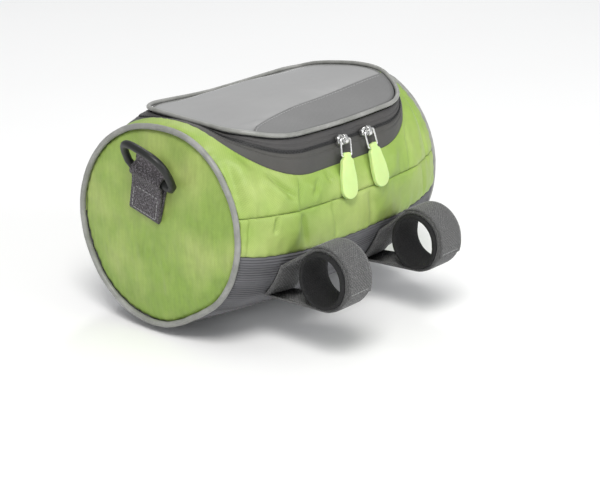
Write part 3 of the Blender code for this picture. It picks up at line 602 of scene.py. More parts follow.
# %% Outlines of the opening and of the lid
OPEN_HALF_LENGTH = 0.098
OPEN_NEAR_ANGLE, OPEN_FAR_ANGLE = 64.8, -45.0
OPEN_NEAR_CORNERS, OPEN_FAR_CORNERS = (0.055, 0.066), (0.026, 0.018)
OPEN_RADIUS = 0.085
OPEN_NEAR = math.radians(OPEN_NEAR_ANGLE) * OPEN_RADIUS
OPEN_FAR = math.radians(-OPEN_FAR_ANGLE) * OPEN_RADIUS
LID_HALF_LENGTH = 0.0875
LID_NEAR, LID_FAR = 0.0770, 0.0440
LID_NEAR_CORNERS, LID_FAR_CORNERS = (0.040, 0.040), (0.028, 0.014)
LID_HEIGHT = 0.080
LID_PIPING_DIAMETER = 0.0036
LID_SEAM_DROP = LID_PIPING_DIAMETER / 2 + 3 * GAP

LID_PROFILE = (
    # across_share, left_end, middle, right_end
    (0.00, 0.855, 0.825, 0.850),
    (0.15, 0.895, 0.888, 0.915),
    (0.30, 0.905, 0.945, 1.000),
    (0.45, 0.912, 0.980, 1.015),
    (0.64, 0.920, 0.985, 0.985),
    (0.82, 0.930, 0.962, 0.935),
    (1.00, 0.900, 0.850, 0.860),
)

OUTLINE_CORNERS = (
    # along_sign, across_sign, first_turn_deg, corner_steps, side_steps_after
    (1, 1, 90, 34, 24),
    (1, -1, 0, 18, 30),
    (-1, -1, -90, 20, 24),
    (-1, 1, 180, 34, 34),
)


def rounded_outline(half_length, near, far, near_corners, far_corners):
    """Closed outline with four corner sizes; the second coordinate grows towards the rider."""
    arcs = []
    for along, across, first, corner_steps, _ in OUTLINE_CORNERS:
        reach, sizes = (near, near_corners) if across > 0 else (far, far_corners)
        radius = sizes[along > 0]
        centre = Vector((along * (half_length - radius), across * (reach - radius)))
        arcs.append([centre + radius * heading(first - 90 * share) for share in shares(corner_steps)])
    points = []
    for i, arc in enumerate(arcs):
        following = arcs[(i + 1) % len(arcs)][0]
        side_steps = OUTLINE_CORNERS[i][4]
        points += arc
        points += [arc[-1].lerp(following, k / side_steps) for k in range(1, side_steps)]
    return points


def far_side():
    """Indices of the outline's points along its side away from the rider."""
    first = OUTLINE_CORNERS[0][3] + OUTLINE_CORNERS[0][4] + OUTLINE_CORNERS[1][3]
    return list(range(first, first + OUTLINE_CORNERS[1][4] + 1))


def opening_outline(clearance):
    """The opening on the barrel, as places along it and angles round it."""
    flat = rounded_outline(OPEN_HALF_LENGTH - clearance, OPEN_NEAR - clearance, OPEN_FAR - clearance,
                           OPEN_NEAR_CORNERS, OPEN_FAR_CORNERS)
    return [(point.x, math.degrees(point.y / OPEN_RADIUS)) for point in flat]


def table_value(table, at, column):
    """Value of a table whose first column rises, with its ends held."""
    at = min(max(at, table[0][0]), table[-1][0])
    i = max(k for k in range(len(table) - 1) if table[k][0] <= at)
    t = (at - table[i][0]) / (table[i + 1][0] - table[i][0])
    return between(*(table[min(max(i + k, 0), len(table) - 1)][column] for k in (-1, 0, 1, 2)), t)


def lid_height(x, y):
    """Height of the lid's face over a place on its plan."""
    across = (LID_NEAR + y) / (LID_NEAR + LID_FAR)
    left, middle, right_end = (table_value(LID_PROFILE, across, column) for column in (1, 2, 3))
    along = min(max(x / LID_HALF_LENGTH, -1), 1)
    end = right_end if along > 0 else left
    return LID_HEIGHT * (middle + (end - middle) * eased(abs(along)))


def lid_outline(inset):
    """The lid's edge drawn inwards by inset, in plan."""
    corners = [[size - inset for size in sizes] for sizes in (LID_NEAR_CORNERS, LID_FAR_CORNERS)]
    flat = rounded_outline(LID_HALF_LENGTH - inset, LID_NEAR - inset, LID_FAR - inset, *corners)
    return [Vector((point.x, -point.y)) for point in flat]


def over_lid(place, drop=0.0):
    """Point over a place on the lid's plan."""
    return BAG_ORIGIN + Vector((place.x, place.y, lid_height(place.x, place.y) - drop))


print("outline points:", len(lid_outline(0)))

# %% [markdown]
# ## Folds and puckers
# Cloth that is pulled by a seam throws short folds away from it, and a stitched seam gathers the cloth
# beside it. A cloth simulation could find folds of its own, but not the ones that this bag shows, so
# the main ones are listed by the places where they start and end, and puckers follow the seams.

# %% Folds of the body cloth
FOLDS = (
    # x_start, angle_start, x_end, angle_end, half_width, height, all in mm and degrees
    (-79, 60, -69, 70.5, 2.6, -1.5),
    (-84, 62, -74, 72, 3.4, 1.1),
    (-56, 63, -62, 73, 2.4, -1.2),
    (-62, 65, -68, 76, 3.2, 1.0),
    (-32, 65, -29, 70, 2.0, -1.3),
    (-48, 73, -39, 68, 2.6, -1.0),
    (-52, 66, -45, 76, 3.0, 0.8),
    (-22, 66, -26, 77, 3.0, 0.8),
    (-104, 52, -106, 70, 3.2, -0.9),
    (-97, 50, -100, 73, 4.5, 1.2),
    (-82, 79.5, -84, 84.5, 1.7, -1.3),
    (-60, 82, -57, 93, 3.2, -0.9),
    (-66, 80, -70, 92, 3.4, 0.7),
    (-101, 76, -103, 92, 2.6, -0.8),
    (-30, 81, -26, 93, 4.2, -0.8),
    (30, 66, 27, 77, 3.0, -0.8),
    (47, 63, 40, 76, 3.4, 0.9),
    (72, 56, 62, 76, 3.0, -1.0),
    (88, 48, 80, 74, 4.0, 1.0),
    (98, 42, 92, 72, 2.8, -0.9),
    (80, 79, 84, 92, 3.0, -0.9),
    (10, 82, 14, 95, 4.0, -0.7),
    (-60, -50, -52, -84, 4.5, -1.2),
    (-10, -52, -14, -88, 5.0, 1.1),
    (40, -50, 52, -86, 4.5, -1.3),
    (88, -52, 84, -84, 4.0, -1.0),
)
PUCKER_PITCH = 0.0085
CRUMPLE = 0.0010
FOLD_GAIN = 2.6
FOLD_WIDTH, BULGE_WIDTH = 0.72, 1.5
CALM_REACH = 0.009
SEAM_DIP, SEAM_ROLL = 0.0008, 0.0012


def folds_at(x, angle):
    """Height of the listed folds at a place on the barrel."""
    here = Vector((x, angle * ARC))
    total = 0.0
    for x0, a0, x1, a1, half_width, height in FOLDS:
        start = Vector((x0 / 1000, a0 * ARC))
        way = Vector((x1 / 1000, a1 * ARC)) - start
        share = (here - start).dot(way) / way.length_squared
        if not -0.4 < share < 1.4:
            continue
        width = half_width / 1000 * (BULGE_WIDTH if height > 0 else FOLD_WIDTH)
        near = (here - start - way * share).length / width
        if near < 3:
            fade = eased((share + 0.4) / 0.5) * eased((1.4 - share) / 0.6)
            total += height / 1000 * bell(near, 1) * fade
    return total * FOLD_GAIN


def crumple(point, size, depth, seed=0.0):
    """Soft random unevenness of cloth."""
    return depth * noise.fractal(point / size + Vector((seed, 0, 0)), 0.8, 2.0, 3)


def pucker(along, distance, reach=0.006, depth=0.0003):
    """Gathers beside a seam, fading with the distance from it."""
    wave = math.sin(2 * math.pi * along / PUCKER_PITCH + 2.5 * noise.noise(Vector((along * 60, 0, 0))))
    return depth * wave * math.exp(-distance / reach)


def calm_by_opening(x, angle):
    """0 at the lid's opening, where the seam holds the cloth flat, and 1 away from it."""
    across = math.radians((angle + 180) % 360 - 180) * OPEN_RADIUS
    reach, sizes = (OPEN_NEAR, OPEN_NEAR_CORNERS) if across > 0 else (OPEN_FAR, OPEN_FAR_CORNERS)
    radius = sizes[x > 0]
    away = Vector((abs(x) - OPEN_HALF_LENGTH + radius, abs(across) - reach + radius))
    outside = Vector((max(away.x, 0), max(away.y, 0))).length + min(max(away), 0) - radius
    return eased(outside / CALM_REACH)


def body_cloth(name, low, high, steps, columns, folded=1.0, ribbed=False):
    """A body panel between two edges given as angles along the barrel."""
    edge = math.degrees(SEAM_GROOVE / 2 / END_RADIUS)
    rows = []
    for k in range(steps + 1):
        row = []
        rib = RIB_DEPTH * (abs(math.sin(math.pi * k / RIB_SAMPLES)) - 1) if ribbed else 0
        for share in shares(columns):
            x = BODY_END * (0.7 * (2 * share - 1) + 0.3 * math.sin(math.pi * (share - 0.5)))
            start, stop = low(x) + edge, high(x) - edge
            angle = start + (stop - start) * k / steps
            radius = skin_radius(x, angle)
            point = on_barrel(x, angle, radius)
            lift = folds_at(x, angle) + crumple(point, 0.028, CRUMPLE) + crumple(point, 0.006, CRUMPLE * 0.08)
            lift = folded * calm_by_opening(x, angle) * lift + rib
            for distance in ((angle - start) * ARC, (stop - angle) * ARC):
                lift += pucker(x, distance) - SEAM_DIP * bell(distance, SEAM_ROLL)
            distance = BODY_END - abs(x)
            lift += pucker(angle * ARC, distance, 0.005) - SEAM_DIP * bell(distance, SEAM_ROLL * 1.5)
            row.append(on_barrel(x, angle, radius + lift))
        rows.append(row)
    return sew(name, rows, flip=True, wall=CLOTH_WALL)


print("folds listed:", len(FOLDS))

# %% [markdown]
# ## Body panels
# The upper panel has a rounded opening that the gusset is sewn into. The cloth could be lofted round
# the hole, but cutting the finished panel with a plug, as a tailor cuts marked cloth, leaves the folds as
# they are and gives a clean edge.

# %% The body panels
UPPER_STEPS, STRIP_STEPS, GREEN_COLUMNS, BASE_COLUMNS = 200, 34, 170, 64
PLUG_INNER, PLUG_OUTER, PLUG_TOP = END_RADIUS * 0.84, END_RADIUS * 1.35, END_RADIUS * 1.7
PLUG_TIP = 0.02
upper = body_cloth("upper_cloth", lambda x: FRONT_BASE_ANGLE, seam_angle, UPPER_STEPS, GREEN_COLUMNS)
plug_rows = [[on_barrel(x, angle, radius) for x, angle in opening_outline(0)]
             for radius in (PLUG_INNER, PLUG_OUTER)]
middle_angle = (OPEN_NEAR_ANGLE + OPEN_FAR_ANGLE) / 2
bottom, top = (on_barrel(0, middle_angle, radius) for radius in (PLUG_INNER, PLUG_TOP))
plug_rows.insert(0, [bottom.lerp(point, PLUG_TIP) for point in plug_rows[0]])
plug_rows.append([top.lerp(point, PLUG_TIP) for point in plug_rows[-1]])
plug = sew("opening_plug", plug_rows, closed=True, hub=top)
plug.modifiers.new("weld", "WELD").merge_threshold = 0.00001


def close_bottom(item):
    """Fill a mesh's open edges."""
    work = bmesh.new()
    work.from_mesh(item.data)
    bmesh.ops.holes_fill(work, edges=[edge for edge in work.edges if edge.is_boundary])
    bmesh.ops.recalc_face_normals(work, faces=work.faces[:])
    work.to_mesh(item.data)
    work.free()


def trim(item, cutter, operation="DIFFERENCE"):
    """Cut a piece with another mesh and throw the cutter away."""
    change = item.modifiers.new("trim", "BOOLEAN")
    change.object = cutter
    change.operation = operation
    change.solver = "EXACT"
    settle(item)
    bpy.data.objects.remove(cutter, do_unlink=True)
    return item


close_bottom(plug)
trim(upper, plug)
wear(upper, green_cloth, nodes=["upper_panel"])
strip = body_cloth("rider_side_cloth", seam_angle, base_angle, STRIP_STEPS, GREEN_COLUMNS)
wear(strip, green_cloth, nodes=["rider_side_panel"])
base_arc = math.radians(360 + FRONT_BASE_ANGLE - base_angle(0)) * END_RADIUS
rib_count = round(base_arc / RIB_PITCH)
base = body_cloth("base_cloth", base_angle, lambda x: FRONT_BASE_ANGLE + 360, rib_count * RIB_SAMPLES,
                  BASE_COLUMNS, folded=0.6, ribbed=True)
wear(base, ribbed_cloth, nodes=["base_panel"])
print("ribs round the base:", rib_count)
print("upper cloth faces:", len(upper.data.polygons))

# %% [markdown]
# ## The round ends
# Each end is a padded disc with a low crown, held by a piping: a cord wrapped in a strip of cloth that
# is caught in the seam. A torus would be too even, so the piping follows the end's own outline and
# its wrap has small lumps.

# %% End panels and pipings
END_RINGS = 70
END_POINTS = 240
STREAK_DEPTH = 0.00035
END_CORD_FULL = 0.9       # the cord's thickness as a share of the piping's


def end_outline(side, inset, x, count):
    """The end section drawn inwards by inset, in a plane across the barrel."""
    return [on_barrel(side * x, angle, END_RADIUS * round_value(END_SECTION, angle) - inset)
            for angle in (360 * i / count for i in range(count))]


def end_panel(label, side):
    """A crowned end panel with the padding's slight dents."""
    rim = end_outline(side, PIPING_DIAMETER + GAP - UNDER_PIPING, 0, END_POINTS)
    centre = BAG_ORIGIN.copy()
    rows = []
    for r in range(END_RINGS):
        share = 1 - r / END_RINGS
        crown = END_DOME * (1 - share ** 4)
        row = []
        for i, point in enumerate(rim):
            flat = centre.lerp(point, share)
            edge = (1 - share) * END_RADIUS
            lift = crown + crumple(flat + Vector((side, 0, 0)), 0.026, 0.0007)
            lift += crumple(flat, 0.008, 0.00012, 4.0)
            low_half = eased((BAG_ORIGIN.z + 0.010 - flat.z) / 0.030)
            streak = noise.noise(Vector((side * 3, flat.y / 0.0035, flat.z / 0.016)))
            lift += (0.3 + 0.7 * low_half) * STREAK_DEPTH * streak
            lift += pucker(i * 2 * math.pi * END_RADIUS / END_POINTS, edge, 0.006, 0.0003)
            lift -= SEAM_DIP * 1.6 * bell(edge, SEAM_ROLL * 1.5)
            flat.x = BAG_ORIGIN.x + side * (HALF_LENGTH - END_DOME - GAP + min(lift, END_DOME + 0.0006))
            row.append(flat)
        rows.append(row)
    hub = sum(rows[-1], Vector()) / END_POINTS
    return sew("end_cloth_" + label, rows, closed=True, hub=hub, plan=lambda p: (p.y, p.z), flip=side < 0,
               wall=CLOTH_WALL)


for label, side in SIDES:
    panel = wear(end_panel(label, side), end_cloth, nodes=["end_panel_" + label])
    path = end_outline(side, PIPING_RADIUS, HALF_LENGTH - PIPING_RADIUS, END_POINTS)
    path = [point + Vector((0, *(crumple(point, 0.01, 0.0002, seed) for seed in (0, 3)))) for point in path]
    piping = cord_round("end_piping_cord_" + label, path, PIPING_DIAMETER * END_CORD_FULL)
    wear(piping, piping_cloth, nodes=["end_piping_" + label])
print("ends:", END_RINGS * END_POINTS, "points each")

# %% [markdown]
# ## Gusset and zip
# Two grey bands stand between the body and the lid, with the zip's coil between them. The bands bow out
# a little and show upright ripples where they turn the corners. The coil is a row of small moulded
# teeth; a bump would do from afar, but the teeth catch the light when they are real.

# %% Gusset bands
GUSSET_WALL = 0.0016
GUSSET_CLEARANCE = 0.0003
GUSSET_TUCK = 0.0015
ZIP_LAP = 0.0006
HEM_DEPTH, HEM_WIDTH = 0.0005, 0.0009
STITCH_LINE, STITCH_GROOVE = 0.0026, 0.00055
GUSSET_SWELL = 0.05
ZIP_LEVEL = 0.63
ZIP_BAND = 0.0038
LOWER_HEIGHT, UPPER_HEIGHT = 0.0120, 0.0063

gusset_foot = [on_barrel(x, angle, skin_radius(x, angle)) for x, angle in opening_outline(GUSSET_CLEARANCE)]
gusset_head = [over_lid(place, LID_SEAM_DROP) for place in lid_outline(0)]


def gusset_point(k, share, shift=0.0, out=0.0):
    """A point on the gusset over the outline's point k."""
    low, high = gusset_foot[k], gusset_head[k]
    rise = high - low
    along = gusset_foot[(k + 1) % len(gusset_foot)] - gusset_foot[k - 1]
    outward = along.cross(rise).normalized()
    share = share + shift / rise.length
    bow = GUSSET_SWELL * rise.length * 4 * share * (1 - share)
    return low + rise * share + outward * (bow + out)


def gusset_band(name, low, high, steps, height, zip_side):
    """A band of the gusset between two edges, each a share of the way up and a shift."""
    rows = []
    for t in shares(steps):
        share, shift = (low[i] + (high[i] - low[i]) * t for i in (0, 1))
        up, down = t * height, (1 - t) * height
        from_zip = (down if zip_side == "top" else up) - STITCH_LINE
        hem = -HEM_DEPTH * (bell(up, HEM_WIDTH) + bell(down, HEM_WIDTH))
        hem -= STITCH_GROOVE * bell(from_zip, STITCH_GROOVE)
        row = []
        for k in range(len(gusset_foot)):
            plain = gusset_point(k, share, shift)
            level = Vector((plain.x, plain.y, plain.z * 0.4))
            ripple = crumple(level, 0.012, 0.00055) * math.sin(math.pi * t)
            row.append(gusset_point(k, share, shift, ripple + hem))
        rows.append(row)
    return sew(name, rows, closed=True, wall=GUSSET_WALL)


edge = ZIP_BAND / 2
lower_band = gusset_band("gusset_lower_band", (0.0, -GUSSET_TUCK), (ZIP_LEVEL, ZIP_LAP - edge), 40,
                         LOWER_HEIGHT, "top")
wear(lower_band, gusset_cloth, nodes=["gusset_lower"])
upper_band = gusset_band("gusset_upper_band", (ZIP_LEVEL, edge - ZIP_LAP), (1.0, 0.0), 22,
                         UPPER_HEIGHT, "foot")
wear(upper_band, upper_gusset_cloth, nodes=["gusset_upper"])
print("gusset points round:", len(gusset_foot))

# %% Zip tape, teeth and the hinge behind
TAPE_RECESS = 0.0005
TAPE_WALL = GUSSET_WALL * 0.6
TOOTH_PITCH = 0.0013
TOOTH_SIZE = (0.0009, 0.0011, 0.0006)

behind = far_side()
count = len(gusset_foot)
front = [k % count for k in range(behind[-1], behind[0] + count + 1)]


def tape_sheet(name, columns, shifts):
    """A strip of tape along the zip's line, sunk a little below it."""
    rows = [[gusset_point(k, ZIP_LEVEL, shift, -TAPE_RECESS) for k in columns] for shift in shifts]
    return sew(name, rows, wall=TAPE_WALL)


tape = tape_sheet("zip_tape", front, (GAP - edge, -edge * 0.4, edge * 0.4, edge - GAP))
wear(tape, zip_coil, nodes=["zip"])
hinge = tape_sheet("lid_hinge_cloth", behind[1:-1], (-edge, 0, edge))
wear(hinge, gusset_cloth, nodes=["lid_hinge"])


def walk(points, pitch):
    """Places and directions at equal steps along a line of points."""
    run = stretch(points)
    found, i, at = [], 0, pitch / 2
    while at < run[-1]:
        while run[i + 1] < at:
            i += 1
        t = (at - run[i]) / (run[i + 1] - run[i])
        found.append((points[i].lerp(points[i + 1], t), (points[i + 1] - points[i]).normalized(), i))
        at += pitch
    return found


def studs(name, places, size):
    """One mesh of small rounded blocks; each place is a point and three directions."""
    points, faces = [], []
    for centre, along, across, out in places:
        first = len(points)
        for level, shrink in ((0, 1.0), (0.65, 1.0), (1.0, 0.55)):
            wide, deep = shrink * size[0] / 2, shrink * size[1] / 2
            points += [centre + along * (a * wide) + across * (b * deep) + out * (level * size[2])
                       for a, b in SQUARE]
        for ring in (0, 4):
            for a in range(4):
                b = (a + 1) % 4
                faces.append([first + ring + a, first + ring + b, first + ring + 4 + b, first + ring + 4 + a])
        faces += [[first + 8, first + 9, first + 10, first + 11], [first + 3, first + 2, first + 1, first]]
    mesh = bpy.data.meshes.new(name)
    mesh.from_pydata(points, [], faces)
    return add(name, mesh)


zip_line = [gusset_point(k, ZIP_LEVEL, 0, -TAPE_RECESS * 0.6) for k in front]
teeth = []
for n, (point, along, i) in enumerate(walk(zip_line, TOOTH_PITCH)):
    rise = (gusset_head[front[i]] - gusset_foot[front[i]]).normalized()
    out = along.cross(rise).normalized()
    teeth.append((point + rise * (0.0003 if n % 2 else -0.0003), along, out.cross(along), out))
coil = studs("zip_teeth", teeth, TOOTH_SIZE)
wear(coil, zip_coil)
print("zip teeth:", len(teeth))

# %% [markdown]
# ## The lid
# The lid's face is one stiffened panel. A sheet of clear vinyl over a pale pocket covers most of it, and
# a matt grey flap covers the rest, with its hem along a curved line. The vinyl could be glass, but it lies
# on cloth and hides it, so a smooth grey finish shows the same soft mirror.

# %% Lid panel, window and flap
LID_WALL = 0.0020
WINDOW_WALL = 0.0006
FLAP_WALL = 0.0014
WINDOW_INSET = 0.0026
LID_RINGS = 26
LID_CORD_FULL = 0.88       # the cord's thickness as a share of the piping's

FLAP_LINE = (
    # along_share, across_share
    (-0.94, 0.090),
    (-0.86, 0.150),
    (-0.78, 0.187),
    (-0.66, 0.216),
    (-0.48, 0.242),
    (-0.20, 0.263),
    (0.20, 0.269),
    (0.60, 0.269),
    (0.98, 0.268),
)


def window_waves(place):
    """Slack in the vinyl, strongest in its near left corner."""
    corner = math.exp(-((place.x + 0.055) / 0.022) ** 2 - ((place.y + 0.055) / 0.016) ** 2)
    point = Vector((place.x, place.y, 0))
    return crumple(point, 0.035, 0.0004) + corner * crumple(point, 0.010, 0.0009, 7.0)


def lid_sheet(name, inset, drop, wall, waves=None):
    """A sheet that follows the lid's face."""
    outline = lid_outline(inset)
    middle = Vector((0, (LID_FAR - LID_NEAR) / 2))
    rows = []
    for r in range(LID_RINGS):
        share = 1 - r / LID_RINGS
        row = []
        for place in outline:
            spot = middle.lerp(place, share)
            lift = waves(spot) * eased((1 - share) * 8) if waves else 0
            row.append(over_lid(spot, drop - lift))
        rows.append(row)
    return sew(name, rows, closed=True, hub=over_lid(middle, drop), plan=lambda p: (p.x, p.y), wall=wall)


def lid_place(along_share, across_share):
    """Place on the lid's plan from shares of its half length and breadth."""
    return Vector((along_share * LID_HALF_LENGTH, across_share * (LID_NEAR + LID_FAR) - LID_NEAR))


def flap_edge(count=60):
    """The flap's hem line in plan, through the table's places."""
    places = [lid_place(*row) for row in FLAP_LINE]
    line = []
    for i in range(count + 1):
        at = i / count * (len(places) - 1)
        j = min(int(at), len(places) - 2)
        picks = [places[min(max(j + k, 0), len(places) - 1)] for k in (-1, 0, 1, 2)]
        line.append(Vector([between(*(pick[axis] for pick in picks), at - j) for axis in (0, 1)]))
    return line


def flap_prism(shift):
    """Upright block over the rider's side of the flap's line."""
    line = [place + Vector((0, shift)) for place in flap_edge()]
    reach = LID_HALF_LENGTH * 1.4
    plan = [Vector((-reach, line[0].y - 0.03))] + line
    plan += [Vector((reach, line[-1].y)), Vector((reach, -reach)), Vector((-reach, -reach))]
    rows = [[BAG_ORIGIN + Vector((p.x, p.y, z)) for p in plan] for z in (LID_HEIGHT * 0.6, LID_HEIGHT * 1.3)]
    block = sew("flap_block", rows, closed=True)
    close_bottom(block)
    return block


face_drop = FLAP_WALL + GAP
lid_cloth_piece = lid_sheet("lid_cloth_panel", LID_PIPING_DIAMETER / 2 + GAP, face_drop, LID_WALL)
wear(lid_cloth_piece, lid_cloth, nodes=["lid_panel"])
window = lid_sheet("lid_window_vinyl", WINDOW_INSET, face_drop - GAP - WINDOW_WALL, WINDOW_WALL, window_waves)
trim(window, flap_prism(GAP / 2))
wear(window, window_vinyl, nodes=["lid_window"])
flap = lid_sheet("lid_flap_cloth", WINDOW_INSET, 0, FLAP_WALL)
trim(flap, flap_prism(-GAP / 2), "INTERSECT")
wear(flap, lid_cloth, nodes=["lid_flap"])
lid_edge = [over_lid(place) for place in lid_outline(0)]
lid_cord = cord_round("lid_piping_cord", lid_edge, LID_PIPING_DIAMETER * LID_CORD_FULL)
wear(lid_cord, piping_cloth, nodes=["lid_piping"])
print("window faces:", len(window.data.polygons), "flap faces:", len(flap.data.polygons))

# %% [markdown]
# ## Stitches
# Rows of lockstitch hold the hems. A dashed texture would be cheaper, but a real stitch is a short thick
# thread that sinks into the cloth at both ends, and it throws a small shadow. Each stitch is a little
# rounded block laid along its seam.

# %% Stitch rows
STITCH_LENGTH = 0.0022
STITCH_PITCH = 0.0031
STITCH_SIZE = (STITCH_LENGTH, 0.00055, 0.00035)


def stitch_row(name, line, normal_at):
    """Stitches along a line; normal_at gives the cloth's outward direction at a point."""
    places = []
    for point, along, _ in walk(line, STITCH_PITCH):
        out = normal_at(point)
        across = out.cross(along).normalized()
        places.append((point - out * 0.0001, along, across, across.cross(along) * -1))
    return wear(studs(name, places, STITCH_SIZE), thread_grey)


def lid_normal(point):
    """Outward direction of the lid's face under a point."""
    x, y = (point - BAG_ORIGIN).xy
    step = 0.001
    slope_x = (lid_height(x + step, y) - lid_height(x - step, y)) / (2 * step)
    slope_y = (lid_height(x, y + step) - lid_height(x, y - step)) / (2 * step)
    return Vector((-slope_x, -slope_y, 1)).normalized()


HEM_INSET, HEM_ENDS = 0.0022, 0.008
hem = [over_lid(place - Vector((0, HEM_INSET))) for place in flap_edge()
       if abs(place.x) < LID_HALF_LENGTH - HEM_ENDS]
stitch_row("flap_hem_stitches", hem, lid_normal)
print("flap hem stitched over", round(stretch(hem)[-1] * 1000), "mm")

# %% [markdown]
# ## Sliders, wires and pulls
# Two sliders run on the zip. Each has a bridge on its back, a bent wire loop hangs from the bridge, and a
# soft rubber pull is moulded on the wire. The wire and its pull swing as one, so they ride on a body of
# their own. The same outline-and-bevel helper shapes the slider's plate and the pull.

# %% Slider and pull shapes
SLIDER_SPREAD, SLIDER_CENTRE = 0.0265, 0.0025
SLIDER_WIDTH, SLIDER_LENGTH, SLIDER_HEIGHT = 0.0080, 0.0110, 0.0032
WIRE_DIAMETER, WIRE_WIDTH, WIRE_LENGTH = 0.0016, 0.0102, 0.0120
PULL_WIDTH, PULL_LENGTH, PULL_THICKNESS = 0.0158, 0.0325, 0.0032
PULL_SHOULDER, PULL_NECK = 0.0118, 0.0070
BRIDGE_EYE = WIRE_DIAMETER + 0.0012
BRIDGE_LENGTH, BRIDGE_WIDTH, BRIDGE_WALL = 0.0030, 0.0074, 0.0010
TAB_EYE = WIRE_DIAMETER + 0.0010
PULL_CAP, PULL_STEP, PULL_SLOPE, PULL_FLARE = 0.0011, 0.0046, 0.0016, 0.014
PULL_ROUNDING = 0.0011


def slab(name, outline, low, high, bevel, matrix):
    """A flat piece with rounded edges: an outline in the local XY plane between two heights."""
    rows = [[Vector((p[0], p[1], z)) for p in outline] for z in (low, high)]
    item = sew(name, rows, closed=True)
    close_bottom(item)
    item.data.transform(matrix)
    round_edges = item.modifiers.new("round", "BEVEL")
    round_edges.width, round_edges.segments = bevel, 4
    round_edges.limit_method, round_edges.angle_limit = "ANGLE", math.radians(35)
    return settle(item)


def swing_frame(name, axis_sign, towards, way_sign):
    """Matrix of a swinging piece: X on its hinge, Y along the level way to a point, or away from it."""
    joint = next(j for j in frame["joints"] if j["name"] == name)
    origin, axis = Vector(joint["pos_m"]), Vector(joint["axis"]).normalized() * axis_sign
    way = (towards - origin).normalized() * way_sign
    return frame_at(origin, axis, (way - axis * way.dot(axis)).normalized())


def frame_at(origin, x_axis, y_axis):
    """Matrix of a local frame with those directions as its X and Y."""
    z_axis = x_axis.cross(y_axis).normalized()
    matrix = Matrix((x_axis, z_axis.cross(x_axis), z_axis)).transposed().to_4x4()
    matrix.translation = origin
    return matrix


def pull_outline():
    """Outline of a pull: neck, shoulders and a round foot."""
    neck, shoulder, foot = PULL_NECK / 2, PULL_SHOULDER / 2, PULL_WIDTH / 2
    top = -WIRE_LENGTH + TAB_EYE / 2 + PULL_CAP
    step, bottom = top - PULL_STEP, top - PULL_LENGTH
    half = [(neck * 0.7, top), (neck, top - 0.0008), (neck, step + 0.0008)]
    half.append((neck + (shoulder - neck) * 0.6, step))
    half += [(shoulder + (foot - shoulder) * eased(t), step - PULL_SLOPE - PULL_FLARE * t) for t in shares(6)]
    for turn in shares(12):
        across, down = heading(90 * turn)
        half.append((foot * across, bottom + foot * 0.85 * (1 - down)))
    return half + [(-x, y) for x, y in reversed(half[:-1])]


def zip_frame(x):
    """Place on the zip's outer face at x, the direction up the gusset, and its outward normal."""
    angle = OPEN_NEAR_ANGLE
    low = on_barrel(x, angle, skin_radius(x, angle))
    high = over_lid(Vector((x, -LID_NEAR)), LID_SEAM_DROP)
    up = (high - low).normalized()
    out = Vector((1, 0, 0)).cross(up)
    bow = GUSSET_SWELL * (high - low).length * 4 * ZIP_LEVEL * (1 - ZIP_LEVEL) + GUSSET_WALL * 0.3
    return low.lerp(high, ZIP_LEVEL) + out * (bow + GAP), up, out


SHIELD = ((0.0, 0.50), (0.28, 0.50), (0.42, 0.40), (0.50, 0.18), (0.40, -0.12), (0.34, -0.34), (0.24, -0.50))


def shield_outline():
    """Outline of a slider's plate, wide at one end and waisted at the other."""
    side = [(SLIDER_LENGTH * y, SLIDER_WIDTH * x) for x, y in SHIELD]
    return side + [(x, -y) for x, y in reversed(side[1:])]


def bridge_outline():
    """Outline of the arch over the zip's plate, seen from the side."""
    reach, rise = BRIDGE_WIDTH / 2, BRIDGE_EYE + BRIDGE_WALL
    turns = [math.radians(t) for t in range(0, 181, 12)]
    outer = [(reach * math.cos(turn), rise * math.sin(turn) ** 0.6) for turn in turns]
    inner = [(x * (1 - BRIDGE_WALL / reach), y * (1 - BRIDGE_WALL / rise)) for x, y in reversed(outer)]
    return outer + inner


def wire_loop(matrix, half_width, length, corner, steps=8):
    """Closed rectangular loop with round corners, its upper bar on the local X axis."""
    points = []
    for across, level_at, first in ((1, 0, 90), (1, -length, 0), (-1, -length, -90), (-1, 0, 180)):
        centre = Vector((across * (half_width - corner), level_at + (corner if level_at else -corner), 0))
        points += [matrix @ (centre + corner * heading(first - 90 * t).to_3d()) for t in shares(steps)]
    return points


# %% Sliders, wires and pulls in place
for label, side in SIDES:
    tab_low, tab_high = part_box("pull_tab_" + label)
    local = swing_frame("pull_" + label + "_swing", -1, (tab_low + tab_high) / 2, -1)
    loop = wire_loop(local, WIRE_WIDTH / 2, WIRE_LENGTH, WIRE_DIAMETER * 0.9)
    wire = cord_round("pull_wire_loop_" + label, loop, WIRE_DIAMETER)
    wear(wire, zip_metal, "pull_" + label, ["pull_wire_" + label])
    pull = slab("rubber_pull_" + label, pull_outline(), -PULL_THICKNESS / 2, PULL_THICKNESS / 2,
                PULL_ROUNDING, local)
    wear(pull, lime_rubber, "pull_" + label, ["pull_tab_" + label])
    seat, up, out = zip_frame(SLIDER_CENTRE + side * SLIDER_SPREAD / 2)
    here = frame_at(seat, Vector((side, 0, 0)), up * side)
    plate = slab("slider_plate_" + label, shield_outline(), 0, SLIDER_HEIGHT, SLIDER_HEIGHT * 0.22, here)
    wear(plate, zip_metal, nodes=["slider_" + label])
    sideways = frame_at(seat + out * (SLIDER_HEIGHT - GAP), up, out)
    bridge = slab("slider_bridge_" + label, bridge_outline(), -BRIDGE_LENGTH / 2, BRIDGE_LENGTH / 2,
                  BRIDGE_WALL * 0.3, sideways)
    wear(bridge, zip_metal)
print("last pull hangs from", [round(v, 4) for v in local.translation])

# %% [markdown]
# ## End tabs and rings
# A tab of thick webbing is sewn to each end and folded round the straight bar of a D-ring. The webbing
# is modelled as a closed band with real thickness, so its folded edge shows, and the ring is one bent
# cord of plastic on a body of its own.

